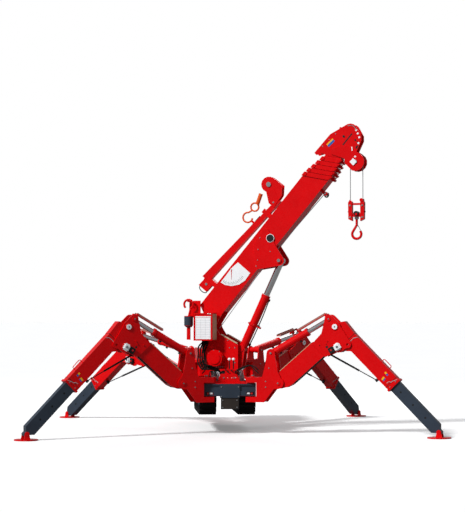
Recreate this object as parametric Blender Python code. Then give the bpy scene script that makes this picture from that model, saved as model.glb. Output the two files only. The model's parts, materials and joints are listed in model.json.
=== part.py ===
"""Mini spider crane on four outriggers: crawler chassis, slewing column, five-section boom.

Metres, +Z up. The origin is the middle of the four outrigger pads, on the ground.
-Y is the front end, with the bumper. The boom stands half raised, a little to the right of it.
Each leg is drawn in its own upright plane: x runs outward from its swing pin, z is height.
The boom and its column are drawn the same way: x runs forward from the slewing axis.
"""
import bpy
import bmesh
from math import atan2, cos, degrees, hypot, pi, radians, sin
from mathutils import Matrix

# Shared clearances and counts
SEAT_GAP = 0.0003          # between two pieces that touch
PIN_GAP = 0.0007           # radial play of a pin in its bore
RUN_GAP = 0.006            # side play between moving cheeks
ROUND = 16                 # sides of a turned piece
SMALL_ROUND = 10           # sides of a small turned piece
BIG_ROUND = 24             # sides of a wheel, a drum cover or a foot pad
HOLE_SIDES = 8
SMOOTH_UNDER = 38.0        # degrees between two faces that are shaded as one

# Chassis
FRAME_HALF_WIDTH = 0.10
FRAME_BOTTOM = 0.40
FRAME_TOP = 0.53
FRAME_FRONT = -1.06
FRAME_REAR = 1.44
SWING_HEAD_RADIUS = 0.034
BUMPER_HALF_WIDTH = 0.272
BUMPER_FRONT = -1.165
BUMPER_BOTTOM = 0.405
BUMPER_TOP = 0.53
BUMPER_CENTRE = 0.105
BUMPER_PLATE_THICK = 0.008
BUMPER_RECESS_LOW = 0.455
LAMP_SLOT = (0.172, 0.256, 0.414, 0.446)
LAMP_DEPTH = 0.014
SKID_BOTTOM = 0.265
SKID_HALF_WIDTH = 0.095
VALVE_COVER_DEPTH = 0.15
VALVE_COVER_HEIGHT = 0.075

# Crawler tracks
TRACK_CLEAR = 0.02
TRACK_HEIGHT = 0.33
TRACK_FRONT = -0.84
TRACK_REAR = 0.62
TRACK_OUTER = 0.300
TRACK_WIDTH = 0.180
TRACK_BAND = 0.022
TRACK_LUG = 0.018
TRACK_LUG_PITCH = 0.072
WHEEL_WIDTH = 0.10
BEND_SIDES = 24            # sides of the wheels and of the loop's bends
ROLLER_RADIUS = 0.055
ROLLER_COUNT = 4
ROLLER_SINK = 0.0253
TRACK_ARMS = (-0.35, 0.15)

# Rear body
HOOD_FRONT = 0.46
HOOD_REAR = 1.54
HOOD_HALF_WIDTH = 0.255
HOOD_FLOOR = 0.548
HOOD_TOP = 0.86
HOOD_WALL = 0.004
ENGINE_SIZE = (0.34, 0.42, 0.24)
ENGINE_Y = 1.12
DECK_FRONT = -1.02
DECK_REAR = 0.10
DECK_HALF_WIDTH = 0.17
DECK_THICK = 0.022

# Slewing gear
SLEW_Y = -0.50
SLEW_RING_RADIUS = 0.165
SLEW_RING_LOW = 0.600
SLEW_RING_TOP = 0.645
TURNTABLE_THICK = 0.025
SLEW_AZIMUTH = -22.0       # degrees from +X, seen from above

# Boom and its lift cylinder: pins in the boom plane
BOOM_FOOT = (-0.133, 1.169)
BOOM_ANGLE = 50.0
LIFT_FOOT = (0.190, 0.885)
LIFT_EYE_ALONG = 1.0077
LIFT_EYE_BELOW = 0.158
BOOM_BELOW = 0.030         # underside below the foot pin's line
BOOM_HEIGHT = 0.256
BOOM_HALF_WIDTH = 0.095
BOOM_WALL = 0.006
BOOM_TAIL_TOP = 0.064
BOOM_END_TOP = 1.925
BOOM_RAKE = 0.14           # how far the low lip of a collar stands ahead of its top
COLLAR_LENGTH = 0.052
COLLAR_PROUD = 0.010
BOSS_RADIUS = 0.018
SECTION_WALL = 0.004
ROLLER_AT = 1.875
SECTIONS = 4
PLATE = 0.012
LIFT_BARREL_RADIUS = 0.045
LIFT_GLAND_AT = 0.640
LIFT_ROD_RADIUS = 0.033
LIFT_EYE_RADIUS = 0.036
LIFT_ROD_LENGTH = 0.640
LIFT_BORE_AT = 0.046
LIFT_CLAMP_AT = 0.290
LIFT_FORK_IN = 0.050
LIFT_PIN_RADIUS = 0.020
BOOM_PIN_RADIUS = 0.026
COLUMN_CHEEK_IN = 0.101

# Winch, load chart box and stowed ball hook, in the boom plane
WINCH_AT = (-0.067, 0.786)
WINCH_DRUM_RADIUS = 0.050
WINCH_FLANGE_RADIUS = 0.080
WINCH_SHAFT_RADIUS = 0.030
WINCH_DOME = [(0.046, 0.080, 0.081), (0.058, 0.094, 0.095), (0.078, 0.064, 0.087), (0.090, 0.030, 0.065)]
CHART_BOX = (-0.277, -0.064, 0.977, 1.275)
CHART_DEPTH = 0.160
CHART_RIM = 0.014
BALL_HOOK = (-0.362, 1.369)
BALL_RING = 0.052
BALL_RING_BAR = 0.012
BALL_TOP = 1.244
BALL_HEIGHT = 0.110
BALL_RADIUS = 0.046
BALL_LOW = 0.985
PEG_RADIUS = 0.008
PEG_LIFT = 0.0003

# Boom head
TIP_ALONG = 2.345
TIP_BELOW = 0.125
TIP_PIN_RADIUS = 0.016
SHEAVE_RADIUS = 0.0635
SHEAVE_WIDTH = 0.030
HEAD_HALF_WIDTH = 0.055
HEAD_PLATE_THICK = 0.008
HEAD_COVER_THICK = 0.014
HEAD_SPACERS = ((2.540, 0.110), (2.450, 0.000), (2.520, 0.230))
ROPE_RADIUS = 0.004
ROPE_PLAY = 0.0009         # between the rope and the faceted sheave
HOOK_BLOCK_TOP = 2.482
HOOK_BLOCK_LOW = 2.255
HOOK_BOWL = 2.116
HOOK_BOWL_RADIUS = 0.050
HOOK_BAR = 0.014

# Stowed jib on the boom, in the boom's frame
JIB_TAIL = 0.310
JIB_END = 1.500
JIB_LOW = (0.330, 0.257)   # underside at the tail and at the end
JIB_HIGH = (0.422, 0.302)  # top at the tail and at the end
JIB_HALF_WIDTH = 0.040
JIB_HEAD = (1.556, 0.475)
JIB_HEAD_RADIUS = 0.085
JIB_SADDLES = (0.33, 1.30)
STOWED_RING = (1.262, 0.452)
STOWED_HOOK = (1.125, 0.442)
ORANGE_BAR = 0.010
FACET_SINK = 0.0011        # a facet's middle stands this far inside its round bar

# Boom angle dial, outline in the boom's frame
DIAL_PIVOT = (0.590, 0.206)
DIAL_OUTLINE = [(0.404, 0.200), (0.415, 0.144), (0.454, 0.080), (0.521, 0.024), (0.598, 0.000),
                (0.696, 0.008), (0.697, 0.190), (0.604, 0.205)]
DIAL_THICK = 0.003

# Hand controls
LEVER_BALLS = ((0.010, 0.783), (0.054, 0.783))
LEVER_BASE = (-0.036, 0.066, 0.680)
LEVER_Y = -0.935

# Legs: name, side, pin y, foot x, foot y, arm angle, shin angle, extension, then the
# bottom, the top and the thickness of the lugs of the swing bracket
LEG_PIN_X = 0.245
LEGS = [
    ("front_left", -1, -1.12, 2.09, -1.852, 43.97, -45.44, 1.5188, 0.340, 0.600, 0.055),
    ("front_right", 1, -1.12, 2.09, -1.852, 43.97, -45.44, 1.5188, 0.340, 0.600, 0.055),
    ("rear_left", -1, 0.16, 1.761, 1.852, 26.70, -36.57, 1.4908, 0.534, 0.750, 0.030),
    ("rear_right", 1, 0.16, 1.761, 1.852, 26.70, -36.57, 1.4908, 0.534, 0.750, 0.030),
]
LUG_REACH = 0.055
SWING_PIN_RADIUS = 0.022
YOKE_WEB = 0.062
CHEEK_IN = 0.066
CHEEK_THICK = 0.012
ARM_ROOT = (0.298, 0.543)
RAM_FOOT = (0.220, 0.856)
ROOT_PIN_RADIUS = 0.025
RAM_PIN_RADIUS = 0.015
ARM_HALF_WIDTH = 0.060
ARM_TO_KNEE = 0.8508
ARM_TOP = 0.082
ARM_BELOW = 0.107
ARM_SLOPE = -0.052
ARM_BOX_END = 0.570
KNEE_PIN_RADIUS = 0.022
EYE_ALONG = 0.860
EYE_ABOVE = 0.1045
GUARD_ABOVE = 0.062
GUARD_ANGLE = 165.95
GUARD_LENGTH = 0.340
GUARD_HALF_WIDTH = 0.030
GUARD_THICK = 0.004
GUARD_LUG_IN = 0.024
LOCK_RADIUS = 0.2264
LOCK_ANGLES = (-156.0, -124.0, -97.9)
SHIN_HALF_WIDTH = 0.054
SHIN_HEAD_RADIUS = 0.046
SHIN_LENGTH = 0.8688
SHIN_TOP = 0.0975
SHIN_BELOW = 0.0575
SHIN_WALL = 0.006
SHIN_HOLLOW_AT = 0.105
FOOT_HEIGHT = 0.125
FOOT_HALF_WIDTH = 0.042
FOOT_LENGTH = 0.900
FOOT_HOLES = (0.20, 0.38, 0.56)
FOOT_HOLE_RADIUS = 0.011
FOOT_EYE_RADIUS = 0.030
PAD_RADIUS = 0.122
PAD_THICK = 0.012
PAD_PIN_RADIUS = 0.010
PAD_LUG_RADIUS = 0.024
PAD_LUG_THICK = 0.010
RAM_BARREL_RADIUS = 0.040
RAM_GLAND_AT = 0.448
RAM_ROD_RADIUS = 0.025
RAM_ROD_LENGTH = 0.470
RAM_EYE_RADIUS = 0.028

COLOURS = {
    "red": ((0.80, 0.010, 0.012), 0.32, 0.0),
    "slate": ((0.045, 0.058, 0.075), 0.40, 0.0),
    "black": ((0.012, 0.012, 0.013), 0.75, 0.0),
    "rubber": ((0.016, 0.015, 0.014), 0.85, 0.0),
    "chrome": ((0.78, 0.79, 0.80), 0.12, 1.0),
    "steel": ((0.35, 0.36, 0.37), 0.35, 0.9),
    "white": ((0.85, 0.85, 0.84), 0.45, 0.0),
    "orange": ((0.90, 0.16, 0.02), 0.40, 0.0),
}


def clear_scene():
    for old in list(bpy.data.objects):
        bpy.data.objects.remove(old, do_unlink=True)


def material(key):
    if key in bpy.data.materials:
        return bpy.data.materials[key]
    colour, rough, metal = COLOURS[key]
    made = bpy.data.materials.new(key)
    made.use_nodes = True
    shader = made.node_tree.nodes["Principled BSDF"]
    shader.inputs["Base Color"].default_value = (*colour, 1.0)
    shader.inputs["Roughness"].default_value = rough
    shader.inputs["Metallic"].default_value = metal
    made.diffuse_color = (*colour, 1.0)
    return made


def collection(name):
    made = bpy.data.collections.get(name)
    if made is None:
        made = bpy.data.collections.new(name)
        bpy.context.scene.collection.children.link(made)
    return made


def raw(mesh):
    made = bpy.data.objects.new("raw", mesh)
    collection("workshop").objects.link(made)
    return made


def box(x0, x1, y0, y1, z0, z1):
    """A block between two corners."""
    bm = bmesh.new()
    bmesh.ops.create_cube(bm, size=1.0)
    size = Matrix.Diagonal((x1 - x0, y1 - y0, z1 - z0, 1.0))
    place = Matrix.Translation(((x0 + x1) / 2, (y0 + y1) / 2, (z0 + z1) / 2))
    bmesh.ops.transform(bm, matrix=place @ size, verts=bm.verts)
    mesh = bpy.data.meshes.new("box")
    bm.to_mesh(mesh)
    bm.free()
    return raw(mesh)


AXES = {"x": Matrix.Rotation(pi / 2, 4, "Y"), "y": Matrix.Rotation(pi / 2, 4, "X"), "z": Matrix.Identity(4)}


def rod(axis, centre, start, end, radius, sides=ROUND, radius_end=None):
    """A cylinder or cone along x, y or z from start to end, with its other two places in centre."""
    bm = bmesh.new()
    bmesh.ops.create_cone(bm, cap_ends=True, segments=sides, radius1=radius,
                          radius2=radius if radius_end is None else radius_end, depth=abs(end - start))
    middle = (start + end) / 2
    where = {"x": (middle, centre[0], centre[1]), "y": (centre[0], middle, centre[1]),
             "z": (centre[0], centre[1], middle)}[axis]
    bmesh.ops.transform(bm, matrix=Matrix.Translation(where) @ AXES[axis], verts=bm.verts)
    mesh = bpy.data.meshes.new("rod")
    bm.to_mesh(mesh)
    bm.free()
    return raw(mesh)


def plate(points, y0, y1, hole=None):
    """A flat outline in the x-z plane, as thick as from y0 to y1."""
    curve = bpy.data.curves.new("outline", "CURVE")
    curve.dimensions = "2D"
    curve.fill_mode = "BOTH"
    curve.extrude = (y1 - y0) / 2
    for outline in [points] + ([hole] if hole else []):
        spline = curve.splines.new("POLY")
        spline.points.add(len(outline) - 1)
        for point, (x, z) in zip(spline.points, outline):
            point.co = (x, z, 0.0, 1.0)
        spline.use_cyclic_u = True
    solid = curve_solid(curve)
    turn = Matrix.Translation((0.0, (y0 + y1) / 2, 0.0)) @ Matrix.Rotation(pi / 2, 4, "X")
    solid.data.transform(turn)
    return solid


def slab(points, z0, z1):
    """A flat outline in the x-y plane, as thick as from z0 to z1."""
    solid = plate(points, -z1, -z0)
    solid.data.transform(Matrix.Rotation(-pi / 2, 4, "X"))
    return solid


def arc(centre, radius, start, end, steps=6):
    """Points on a circle, angles in degrees."""
    turn = [radians(start + (end - start) * i / steps) for i in range(steps + 1)]
    return [(centre[0] + radius * cos(a), centre[1] + radius * sin(a)) for a in turn]


def merged(first, others, operation="UNION"):
    """The first shape with the others added or cut away, as one closed mesh."""
    for other in others:
        step = first.modifiers.new("combine", "BOOLEAN")
        step.object = other
        step.operation = operation
        step.solver = "EXACT"
    bpy.context.view_layer.update()
    ready = first.evaluated_get(bpy.context.evaluated_depsgraph_get())
    mesh = bpy.data.meshes.new_from_object(ready)
    first.modifiers.clear()
    first.data = mesh
    for other in others:
        bpy.data.objects.remove(other, do_unlink=True)
    return first


def cut(first, others):
    return merged(first, others, "DIFFERENCE")


def side_plates(points, inner, thick):
    return [plate(points, inner, inner + thick), plate(points, -inner - thick, -inner)]


def finish(shape, name, colour, parent=None, location=(0.0, 0.0, 0.0), rotation=(0.0, 0.0, 0.0)):
    """Names a shape, gives it its material and hangs it on its parent."""
    bm = bmesh.new()
    bm.from_mesh(shape.data)
    bmesh.ops.dissolve_limit(bm, angle_limit=radians(0.05), verts=bm.verts, edges=bm.edges)
    bmesh.ops.remove_doubles(bm, verts=bm.verts, dist=1e-6)
    bm.to_mesh(shape.data)
    bm.free()
    shape.name = name
    shape.data.name = name
    shape.data.materials.clear()
    shape.data.materials.append(material(colour))
    shape.parent = parent
    shape.location = location
    shape.rotation_euler = rotation
    shape.data.shade_smooth()
    shape.data.set_sharp_from_angle(angle=radians(SMOOTH_UNDER))
    for home in list(shape.users_collection):
        home.objects.unlink(shape)
    collection("spider_crane").objects.link(shape)
    return shape


def empty(name, location, rotation=(0.0, 0.0, 0.0), parent=None):
    made = bpy.data.objects.new(name, None)
    made.location = location
    made.rotation_euler = rotation
    made.parent = parent
    collection("spider_crane").objects.link(made)
    return made


def polar(centre, radius, angle):
    return (centre[0] + radius * cos(radians(angle)), centre[1] + radius * sin(radians(angle)))


def build_chassis():
    """Main beam with both cross heads that carry the swing pins."""
    beam = box(-FRAME_HALF_WIDTH, FRAME_HALF_WIDTH, FRAME_FRONT, FRAME_REAR, FRAME_BOTTOM, FRAME_TOP)
    added = []
    bores = []
    for name, side, pin_y, _, _, _, _, _, low, high, thick in LEGS:
        z0 = low + thick + RUN_GAP
        z1 = high - thick - RUN_GAP
        pin = (side * LEG_PIN_X, pin_y)
        turn = 0 if side > 0 else 180
        head = arc(pin, SWING_HEAD_RADIUS, turn - 90, turn + 90, 12)
        root = side * FRAME_HALF_WIDTH * 0.5
        head += [(root, pin_y + side * SWING_HEAD_RADIUS), (root, pin_y - side * SWING_HEAD_RADIUS)]
        added.append(slab(head, z0, z1))
        bores.append(rod("z", pin, z0 - 0.05, z1 + 0.05, SWING_PIN_RADIUS + PIN_GAP))
    front_y, rear_y = LEGS[0][2], LEGS[2][2]
    web = FRAME_HALF_WIDTH * 0.7
    added.append(box(-web, web, front_y - 0.03, FRAME_FRONT + 0.05, FRAME_BOTTOM + 0.02, FRAME_TOP - 0.01))
    rear_top = LEGS[2][9] - LEGS[2][10] - RUN_GAP
    added.append(box(-web, web, rear_y - 0.05, rear_y + 0.10, FRAME_BOTTOM + 0.02, rear_top - 0.001))
    deck = FRAME_TOP + DECK_THICK
    added.append(box(-DECK_HALF_WIDTH, DECK_HALF_WIDTH, DECK_FRONT, DECK_REAR, FRAME_TOP - 0.004, deck))
    added.append(box(-HOOD_HALF_WIDTH, HOOD_HALF_WIDTH, HOOD_FRONT, HOOD_REAR,
                     FRAME_TOP - 0.004, HOOD_FLOOR))
    added.append(rod("z", (0.0, SLEW_Y), FRAME_TOP - 0.02, SLEW_RING_LOW, SLEW_RING_RADIUS - 0.02))
    beam = merged(beam, added)
    beam = cut(beam, bores)
    finish(beam, "chassis_frame", "red")

    bumper_back = front_y - SWING_HEAD_RADIUS - SEAT_GAP
    bumper = box(-BUMPER_HALF_WIDTH, BUMPER_HALF_WIDTH, BUMPER_FRONT, bumper_back, BUMPER_BOTTOM, BUMPER_TOP)
    centre = box(-BUMPER_CENTRE, BUMPER_CENTRE, BUMPER_FRONT - BUMPER_PLATE_THICK,
                 BUMPER_FRONT + BUMPER_PLATE_THICK * 0.5, BUMPER_BOTTOM - 0.02, BUMPER_TOP - 0.004)
    skid = box(-SKID_HALF_WIDTH, SKID_HALF_WIDTH, BUMPER_FRONT + 0.001, BUMPER_FRONT + 0.009,
               SKID_BOTTOM, BUMPER_BOTTOM)
    flange = box(-BUMPER_HALF_WIDTH - 0.003, BUMPER_HALF_WIDTH + 0.003, BUMPER_FRONT - 0.005,
                 bumper_back - 0.002, BUMPER_TOP - 0.012, BUMPER_TOP + 0.001)
    bumper = merged(bumper, [centre, skid, flange])
    hollows = []
    for side in (-1, 1):
        x0, x1 = sorted((side * (BUMPER_CENTRE + 0.010), side * (BUMPER_HALF_WIDTH - 0.010)))
        hollows.append(box(x0, x1, BUMPER_FRONT - 0.02, BUMPER_FRONT + 0.008,
                           BUMPER_RECESS_LOW, BUMPER_TOP - 0.022))
        x0, x1 = sorted((side * LAMP_SLOT[0], side * LAMP_SLOT[1]))
        hollows.append(box(x0, x1, BUMPER_FRONT - 0.02, BUMPER_FRONT + LAMP_DEPTH,
                           LAMP_SLOT[2], LAMP_SLOT[3]))
    finish(cut(bumper, hollows), "front_bumper", "slate")

    cover_low = deck + SEAT_GAP
    wall = VALVE_COVER_DEPTH
    shape = [(-0.12, cover_low), (0.12, cover_low), (0.085, cover_low + VALVE_COVER_HEIGHT),
             (-0.085, cover_low + VALVE_COVER_HEIGHT)]
    finish(plate(shape, DECK_FRONT + 0.01, DECK_FRONT + wall), "valve_cover", "red")

    base_low = cover_low + VALVE_COVER_HEIGHT + SEAT_GAP
    levers = box(LEVER_BASE[0], LEVER_BASE[1], LEVER_Y - 0.020, LEVER_Y + 0.020, base_low, LEVER_BASE[2])
    parts = []
    for x, z in LEVER_BALLS:
        parts.append(rod("z", (x, LEVER_Y), LEVER_BASE[2] - 0.005, z - 0.004, 0.005, HOLE_SIDES))
        parts.append(rod("z", (x, LEVER_Y), z - 0.016, z, 0.007, SMALL_ROUND, 0.016))
        parts.append(rod("z", (x, LEVER_Y), z, z + 0.016, 0.016, SMALL_ROUND, 0.007))
    finish(merged(levers, parts), "control_levers", "red")

    ring = rod("z", (0.0, SLEW_Y), SLEW_RING_LOW + SEAT_GAP, SLEW_RING_TOP, SLEW_RING_RADIUS)
    finish(ring, "slew_ring", "black")


def stadium(radius, front, rear, middle, steps=BEND_SIDES // 2):
    """Outline of a track loop: the lower run, the rear bend, the upper run, the front bend."""
    points = arc((rear - TRACK_HEIGHT / 2, middle), radius, -90, 90, steps)
    return points + arc((front + TRACK_HEIGHT / 2, middle), radius, 90, 270, steps)


def track_middle():
    """Height of the wheels' axles, with the loop just below the frame's top."""
    return FRAME_TOP - TRACK_CLEAR - TRACK_HEIGHT / 2


def track_outline():
    """The loop's outer edge, with a lug on each shoe."""
    middle = track_middle()
    tip = TRACK_HEIGHT / 2
    root = tip - TRACK_LUG
    straight = TRACK_REAR - TRACK_FRONT - TRACK_HEIGHT
    around = 2 * straight + 2 * pi * tip
    count = int(round(around / TRACK_LUG_PITCH))

    def place(way, radius):
        """A point at a distance along the loop's tips."""
        way = way % around
        bend = pi * tip
        if way < straight:
            return (TRACK_FRONT + tip + way, middle - radius)
        way -= straight
        if way < bend:
            return polar((TRACK_REAR - tip, middle), radius, -90 + degrees(way / tip))
        way -= bend
        if way < straight:
            return (TRACK_REAR - tip - way, middle + radius)
        way -= straight
        return polar((TRACK_FRONT + tip, middle), radius, 90 + degrees(way / tip))

    points = []
    for i in range(count):
        start = i * around / count
        pitch = around / count
        points.append(place(start, root))
        points.append(place(start + pitch * 0.12, tip))
        points.append(place(start + pitch * 0.45, tip))
        points.append(place(start + pitch * 0.57, root))
    return points


def build_track(name, side):
    middle = track_middle()
    inner = TRACK_HEIGHT / 2 - TRACK_LUG - TRACK_BAND
    centre_x = side * (TRACK_OUTER - TRACK_WIDTH / 2)
    turn = Matrix.Translation((centre_x, 0.0, 0.0)) @ Matrix.Rotation(pi / 2, 4, "Z")
    band = plate(track_outline(), -TRACK_WIDTH / 2, TRACK_WIDTH / 2,
                 hole=stadium(inner, TRACK_FRONT, TRACK_REAR, middle))
    band.data.transform(turn)
    finish(band, name + "_track", "rubber")

    wheel = inner - SEAT_GAP * 3
    x0 = centre_x - WHEEL_WIDTH / 2
    x1 = centre_x + WHEEL_WIDTH / 2
    front_wheel = TRACK_FRONT + TRACK_HEIGHT / 2
    rear_wheel = TRACK_REAR - TRACK_HEIGHT / 2
    low = middle - inner + ROLLER_RADIUS + SEAT_GAP
    beam_low = low + ROLLER_RADIUS - ROLLER_SINK
    beam = box(centre_x - 0.03, centre_x + 0.03, front_wheel, rear_wheel, beam_low, middle + 0.045)
    parts = [rod("x", (y, middle), x0, x1, wheel, BEND_SIDES) for y in (front_wheel, rear_wheel)]
    for i in range(ROLLER_COUNT):
        y = front_wheel + 0.20 + i * (rear_wheel - front_wheel - 0.40) / (ROLLER_COUNT - 1)
        parts.append(rod("x", (y, low), x0, x1, ROLLER_RADIUS, SMALL_ROUND))
    xa, xb = sorted((side * (FRAME_HALF_WIDTH + SEAT_GAP), centre_x))
    for y in TRACK_ARMS:
        parts.append(box(xa, xb, y - 0.04, y + 0.04, middle, FRAME_BOTTOM + 0.03))
    finish(merged(beam, parts), name + "_track_frame", "slate")


def build_rear_body():
    low = HOOD_FLOOR + SEAT_GAP
    profile = [(HOOD_FRONT, low), (HOOD_REAR, low), (HOOD_REAR, HOOD_TOP - 0.09),
               (HOOD_REAR - 0.10, HOOD_TOP), (HOOD_FRONT + 0.07, HOOD_TOP), (HOOD_FRONT, HOOD_TOP - 0.10)]
    turn = Matrix.Rotation(pi / 2, 4, "Z")
    outer = plate(profile, -HOOD_HALF_WIDTH, HOOD_HALF_WIDTH)
    outer.data.transform(turn)
    w = HOOD_WALL
    c = w * 0.4
    inside = [(HOOD_FRONT + w, low - 0.01), (HOOD_REAR - w, low - 0.01),
              (HOOD_REAR - w, HOOD_TOP - 0.09 - c), (HOOD_REAR - 0.10 - c, HOOD_TOP - w),
              (HOOD_FRONT + 0.07 + c, HOOD_TOP - w), (HOOD_FRONT + w, HOOD_TOP - 0.10 - c)]
    inner = plate(inside, -HOOD_HALF_WIDTH + w, HOOD_HALF_WIDTH - w)
    inner.data.transform(turn)
    finish(cut(outer, [inner]), "engine_hood", "red")
    ex, ey, ez = ENGINE_SIZE
    engine = box(-ex / 2, ex / 2, ENGINE_Y - ey / 2, ENGINE_Y + ey / 2, low, low + ez)
    finish(engine, "engine_block", "black")


def pin_with_heads(centre, inner, radius, head, thick=PLATE, proud=0.008):
    """A pin across two cheeks, with a flat head on each outer face."""
    pin = rod("y", centre, -inner - thick / 2, inner + thick / 2, radius)
    low = rod("y", centre, -inner - thick - proud, -inner - thick / 3, head)
    high = rod("y", centre, inner + thick / 3, inner + thick + proud, head)
    return [pin, low, high]


def build_slewing_part():
    """Column with its winch, the load chart box and the stowed ball hook."""
    base = empty("slew_axis", (0.0, SLEW_Y, 0.0), (0.0, 0.0, radians(SLEW_AZIMUTH)))
    floor = SLEW_RING_TOP + SEAT_GAP
    column = rod("z", (0.0, 0.0), floor, floor + TURNTABLE_THICK, SLEW_RING_RADIUS - 0.01)
    px, pz = BOOM_FOOT
    fx, fz = LIFT_FOOT
    cheek = [(-0.160, floor + 0.01), (0.175, floor + 0.01), (0.175, 0.934), (-0.031, 1.043),
             (px + 0.055, pz - 0.05)]
    cheek += arc(BOOM_FOOT, 0.052, -20, 200, 8) + [(-0.205, 1.06), (-0.210, 0.88)]
    parts = side_plates(cheek, COLUMN_CHEEK_IN, PLATE)
    inside = COLUMN_CHEEK_IN + 0.004
    parts.append(box(-0.205, -0.190, -inside, inside, 0.86, 1.075))
    parts.append(box(-0.150, 0.175, -inside, inside, floor + 0.01, floor + 0.035))
    fork = [(0.07, floor + 0.02), (0.20, floor + 0.02), (fx + 0.042, fz - 0.02)]
    fork += arc(LIFT_FOOT, 0.045, -20, 160, 6) + [(0.10, fz - 0.05)]
    parts += side_plates(fork, LIFT_FORK_IN, PLATE)
    parts += pin_with_heads(BOOM_FOOT, COLUMN_CHEEK_IN, BOOM_PIN_RADIUS, 0.036)
    parts += pin_with_heads(LIFT_FOOT, LIFT_FORK_IN, LIFT_PIN_RADIUS, 0.030)
    column = merged(column, parts)
    column = cut(column, [rod("y", WINCH_AT, -0.2, 0.0, WINCH_SHAFT_RADIUS + PIN_GAP)])
    finish(column, "column", "red", base)

    drum_end = COLUMN_CHEEK_IN - 0.006
    outside = COLUMN_CHEEK_IN + PLATE + SEAT_GAP
    winch = rod("y", WINCH_AT, -drum_end, drum_end, WINCH_DRUM_RADIUS)
    parts = [rod("y", WINCH_AT, -drum_end, -drum_end + 0.012, WINCH_FLANGE_RADIUS),
             rod("y", WINCH_AT, drum_end - 0.012, drum_end, WINCH_FLANGE_RADIUS),
             rod("y", WINCH_AT, -outside - 0.02, -drum_end + 0.01, WINCH_SHAFT_RADIUS)]
    begin = 0.0
    for end, radius, radius_end in WINCH_DOME:
        parts.append(rod("y", WINCH_AT, -outside - begin, -outside - end, radius, BIG_ROUND, radius_end))
        begin = end - 0.0015
    finish(merged(winch, parts), "hoist_winch", "red", base)

    x0, x1, z0, z1 = CHART_BOX
    y1 = -(COLUMN_CHEEK_IN + PLATE + SEAT_GAP)
    chart = box(x0, x1, y1 - CHART_DEPTH, y1 - 0.012, z0, z1)
    foot = box(x0 + 0.08, x1 - 0.03, y1 - 0.02, y1, z0 + 0.03, z0 + 0.12)
    arm_z = BALL_HOOK[1] + BALL_RING - BALL_RING_BAR - PEG_RADIUS + PEG_LIFT
    peg_arm = box(BALL_HOOK[0] - 0.012, x0 + 0.03, y1 - 0.026, y1 - 0.012, z1 - 0.05, arm_z + PEG_RADIUS)
    peg = rod("y", (BALL_HOOK[0], arm_z), y1 - 0.11, y1 - 0.02, PEG_RADIUS, SMALL_ROUND)
    chart = merged(chart, [foot, peg_arm, peg])
    face = box(x0 + CHART_RIM, x1 - CHART_RIM, y1 - CHART_DEPTH - 0.01, y1 - CHART_DEPTH + 0.005,
               z0 + CHART_RIM, z1 - CHART_RIM)
    finish(cut(chart, [face]), "load_chart_box", "red", base)

    by = y1 - 0.080
    hx = BALL_HOOK[0]
    ring = eye_hook(BALL_HOOK, BALL_RING, [(hx, BALL_TOP - 0.01)], -65, 225, by, BALL_RING_BAR, 12)
    parts = [rod("z", (hx, by), BALL_TOP - BALL_HEIGHT, BALL_TOP, BALL_RADIUS),
             box(hx - 0.018, hx + 0.018, by - 0.012, by + 0.012, BALL_LOW, BALL_TOP - BALL_HEIGHT + 0.01)]
    finish(merged(ring, parts), "ball_hook", "red", base)
    return base


def bent_bar(points, y, bar, closed=False, resolution=1):
    """A round bar bent along points in the x-z plane."""
    curve = bpy.data.curves.new("bar", "CURVE")
    curve.dimensions = "3D"
    curve.bevel_depth = bar
    curve.bevel_resolution = resolution
    curve.use_fill_caps = not closed
    spline = curve.splines.new("POLY")
    spline.points.add(len(points) - 1)
    for point, (x, z) in zip(spline.points, points):
        point.co = (x, y, z, 1.0)
    spline.use_cyclic_u = closed
    return curve_solid(curve)


def eye_hook(centre, radius, neck, start, end, y, bar, steps=10):
    """A forged hook: from its neck round the bowl to the tip."""
    return bent_bar(neck + arc(centre, radius, start, end, steps), y, bar)


def curve_solid(curve):
    drawn = raw(curve)
    bpy.context.view_layer.update()
    ready = drawn.evaluated_get(bpy.context.evaluated_depsgraph_get())
    mesh = bpy.data.meshes.new_from_object(ready)
    bpy.data.objects.remove(drawn, do_unlink=True)
    bm = bmesh.new()
    bm.from_mesh(mesh)
    bmesh.ops.remove_doubles(bm, verts=bm.verts, dist=1e-5)
    bmesh.ops.recalc_face_normals(bm, faces=bm.faces)
    bm.to_mesh(mesh)
    bm.free()
    return raw(mesh)


def section_sizes(i):
    """Half width, underside and top of boom section i; 0 is the base section."""
    inset = 0.0 if i == 0 else BOOM_WALL + RUN_GAP + (i - 1) * (SECTION_WALL + RUN_GAP)
    return BOOM_HALF_WIDTH - inset, -BOOM_BELOW + inset, BOOM_HEIGHT - BOOM_BELOW - inset


def lean(x, z):
    """Where a raked edge that starts at x on the boom's top is at height z."""
    return x + BOOM_RAKE * (BOOM_HEIGHT - BOOM_BELOW - z) / BOOM_HEIGHT


def raked(x0, x1, low, top, half):
    """A slice of the boom between two raked ends; x0 and x1 are taken at the boom's top."""
    points = [(lean(x0, low), low), (lean(x1, low), low), (lean(x1, top), top), (lean(x0, top), top)]
    return plate(points, -half, half)


def collar(end, low, top, half, start=0.0):
    """A raked collar with a round boss at each end of its flanks and a rope guide under it."""
    first = end - COLLAR_LENGTH + start
    band = raked(first, end, low, top, half)
    parts = []
    for z in (low + 0.022, top - 0.022):
        middle = lean((first + end) / 2, z)
        parts.append(rod("y", (middle, z), -half - 0.006, -half + 0.003, BOSS_RADIUS, SMALL_ROUND))
        parts.append(rod("y", (middle, z), half - 0.003, half + 0.006, BOSS_RADIUS, SMALL_ROUND))
    tip = lean(end, low)
    fin = [(tip - 0.040, low - 0.035), (tip - 0.018, low - 0.040), (tip - 0.004, low + 0.006),
           (tip - 0.050, low + 0.006)]
    parts.append(plate(fin, -0.022, 0.022))
    return merged(band, parts)


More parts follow.
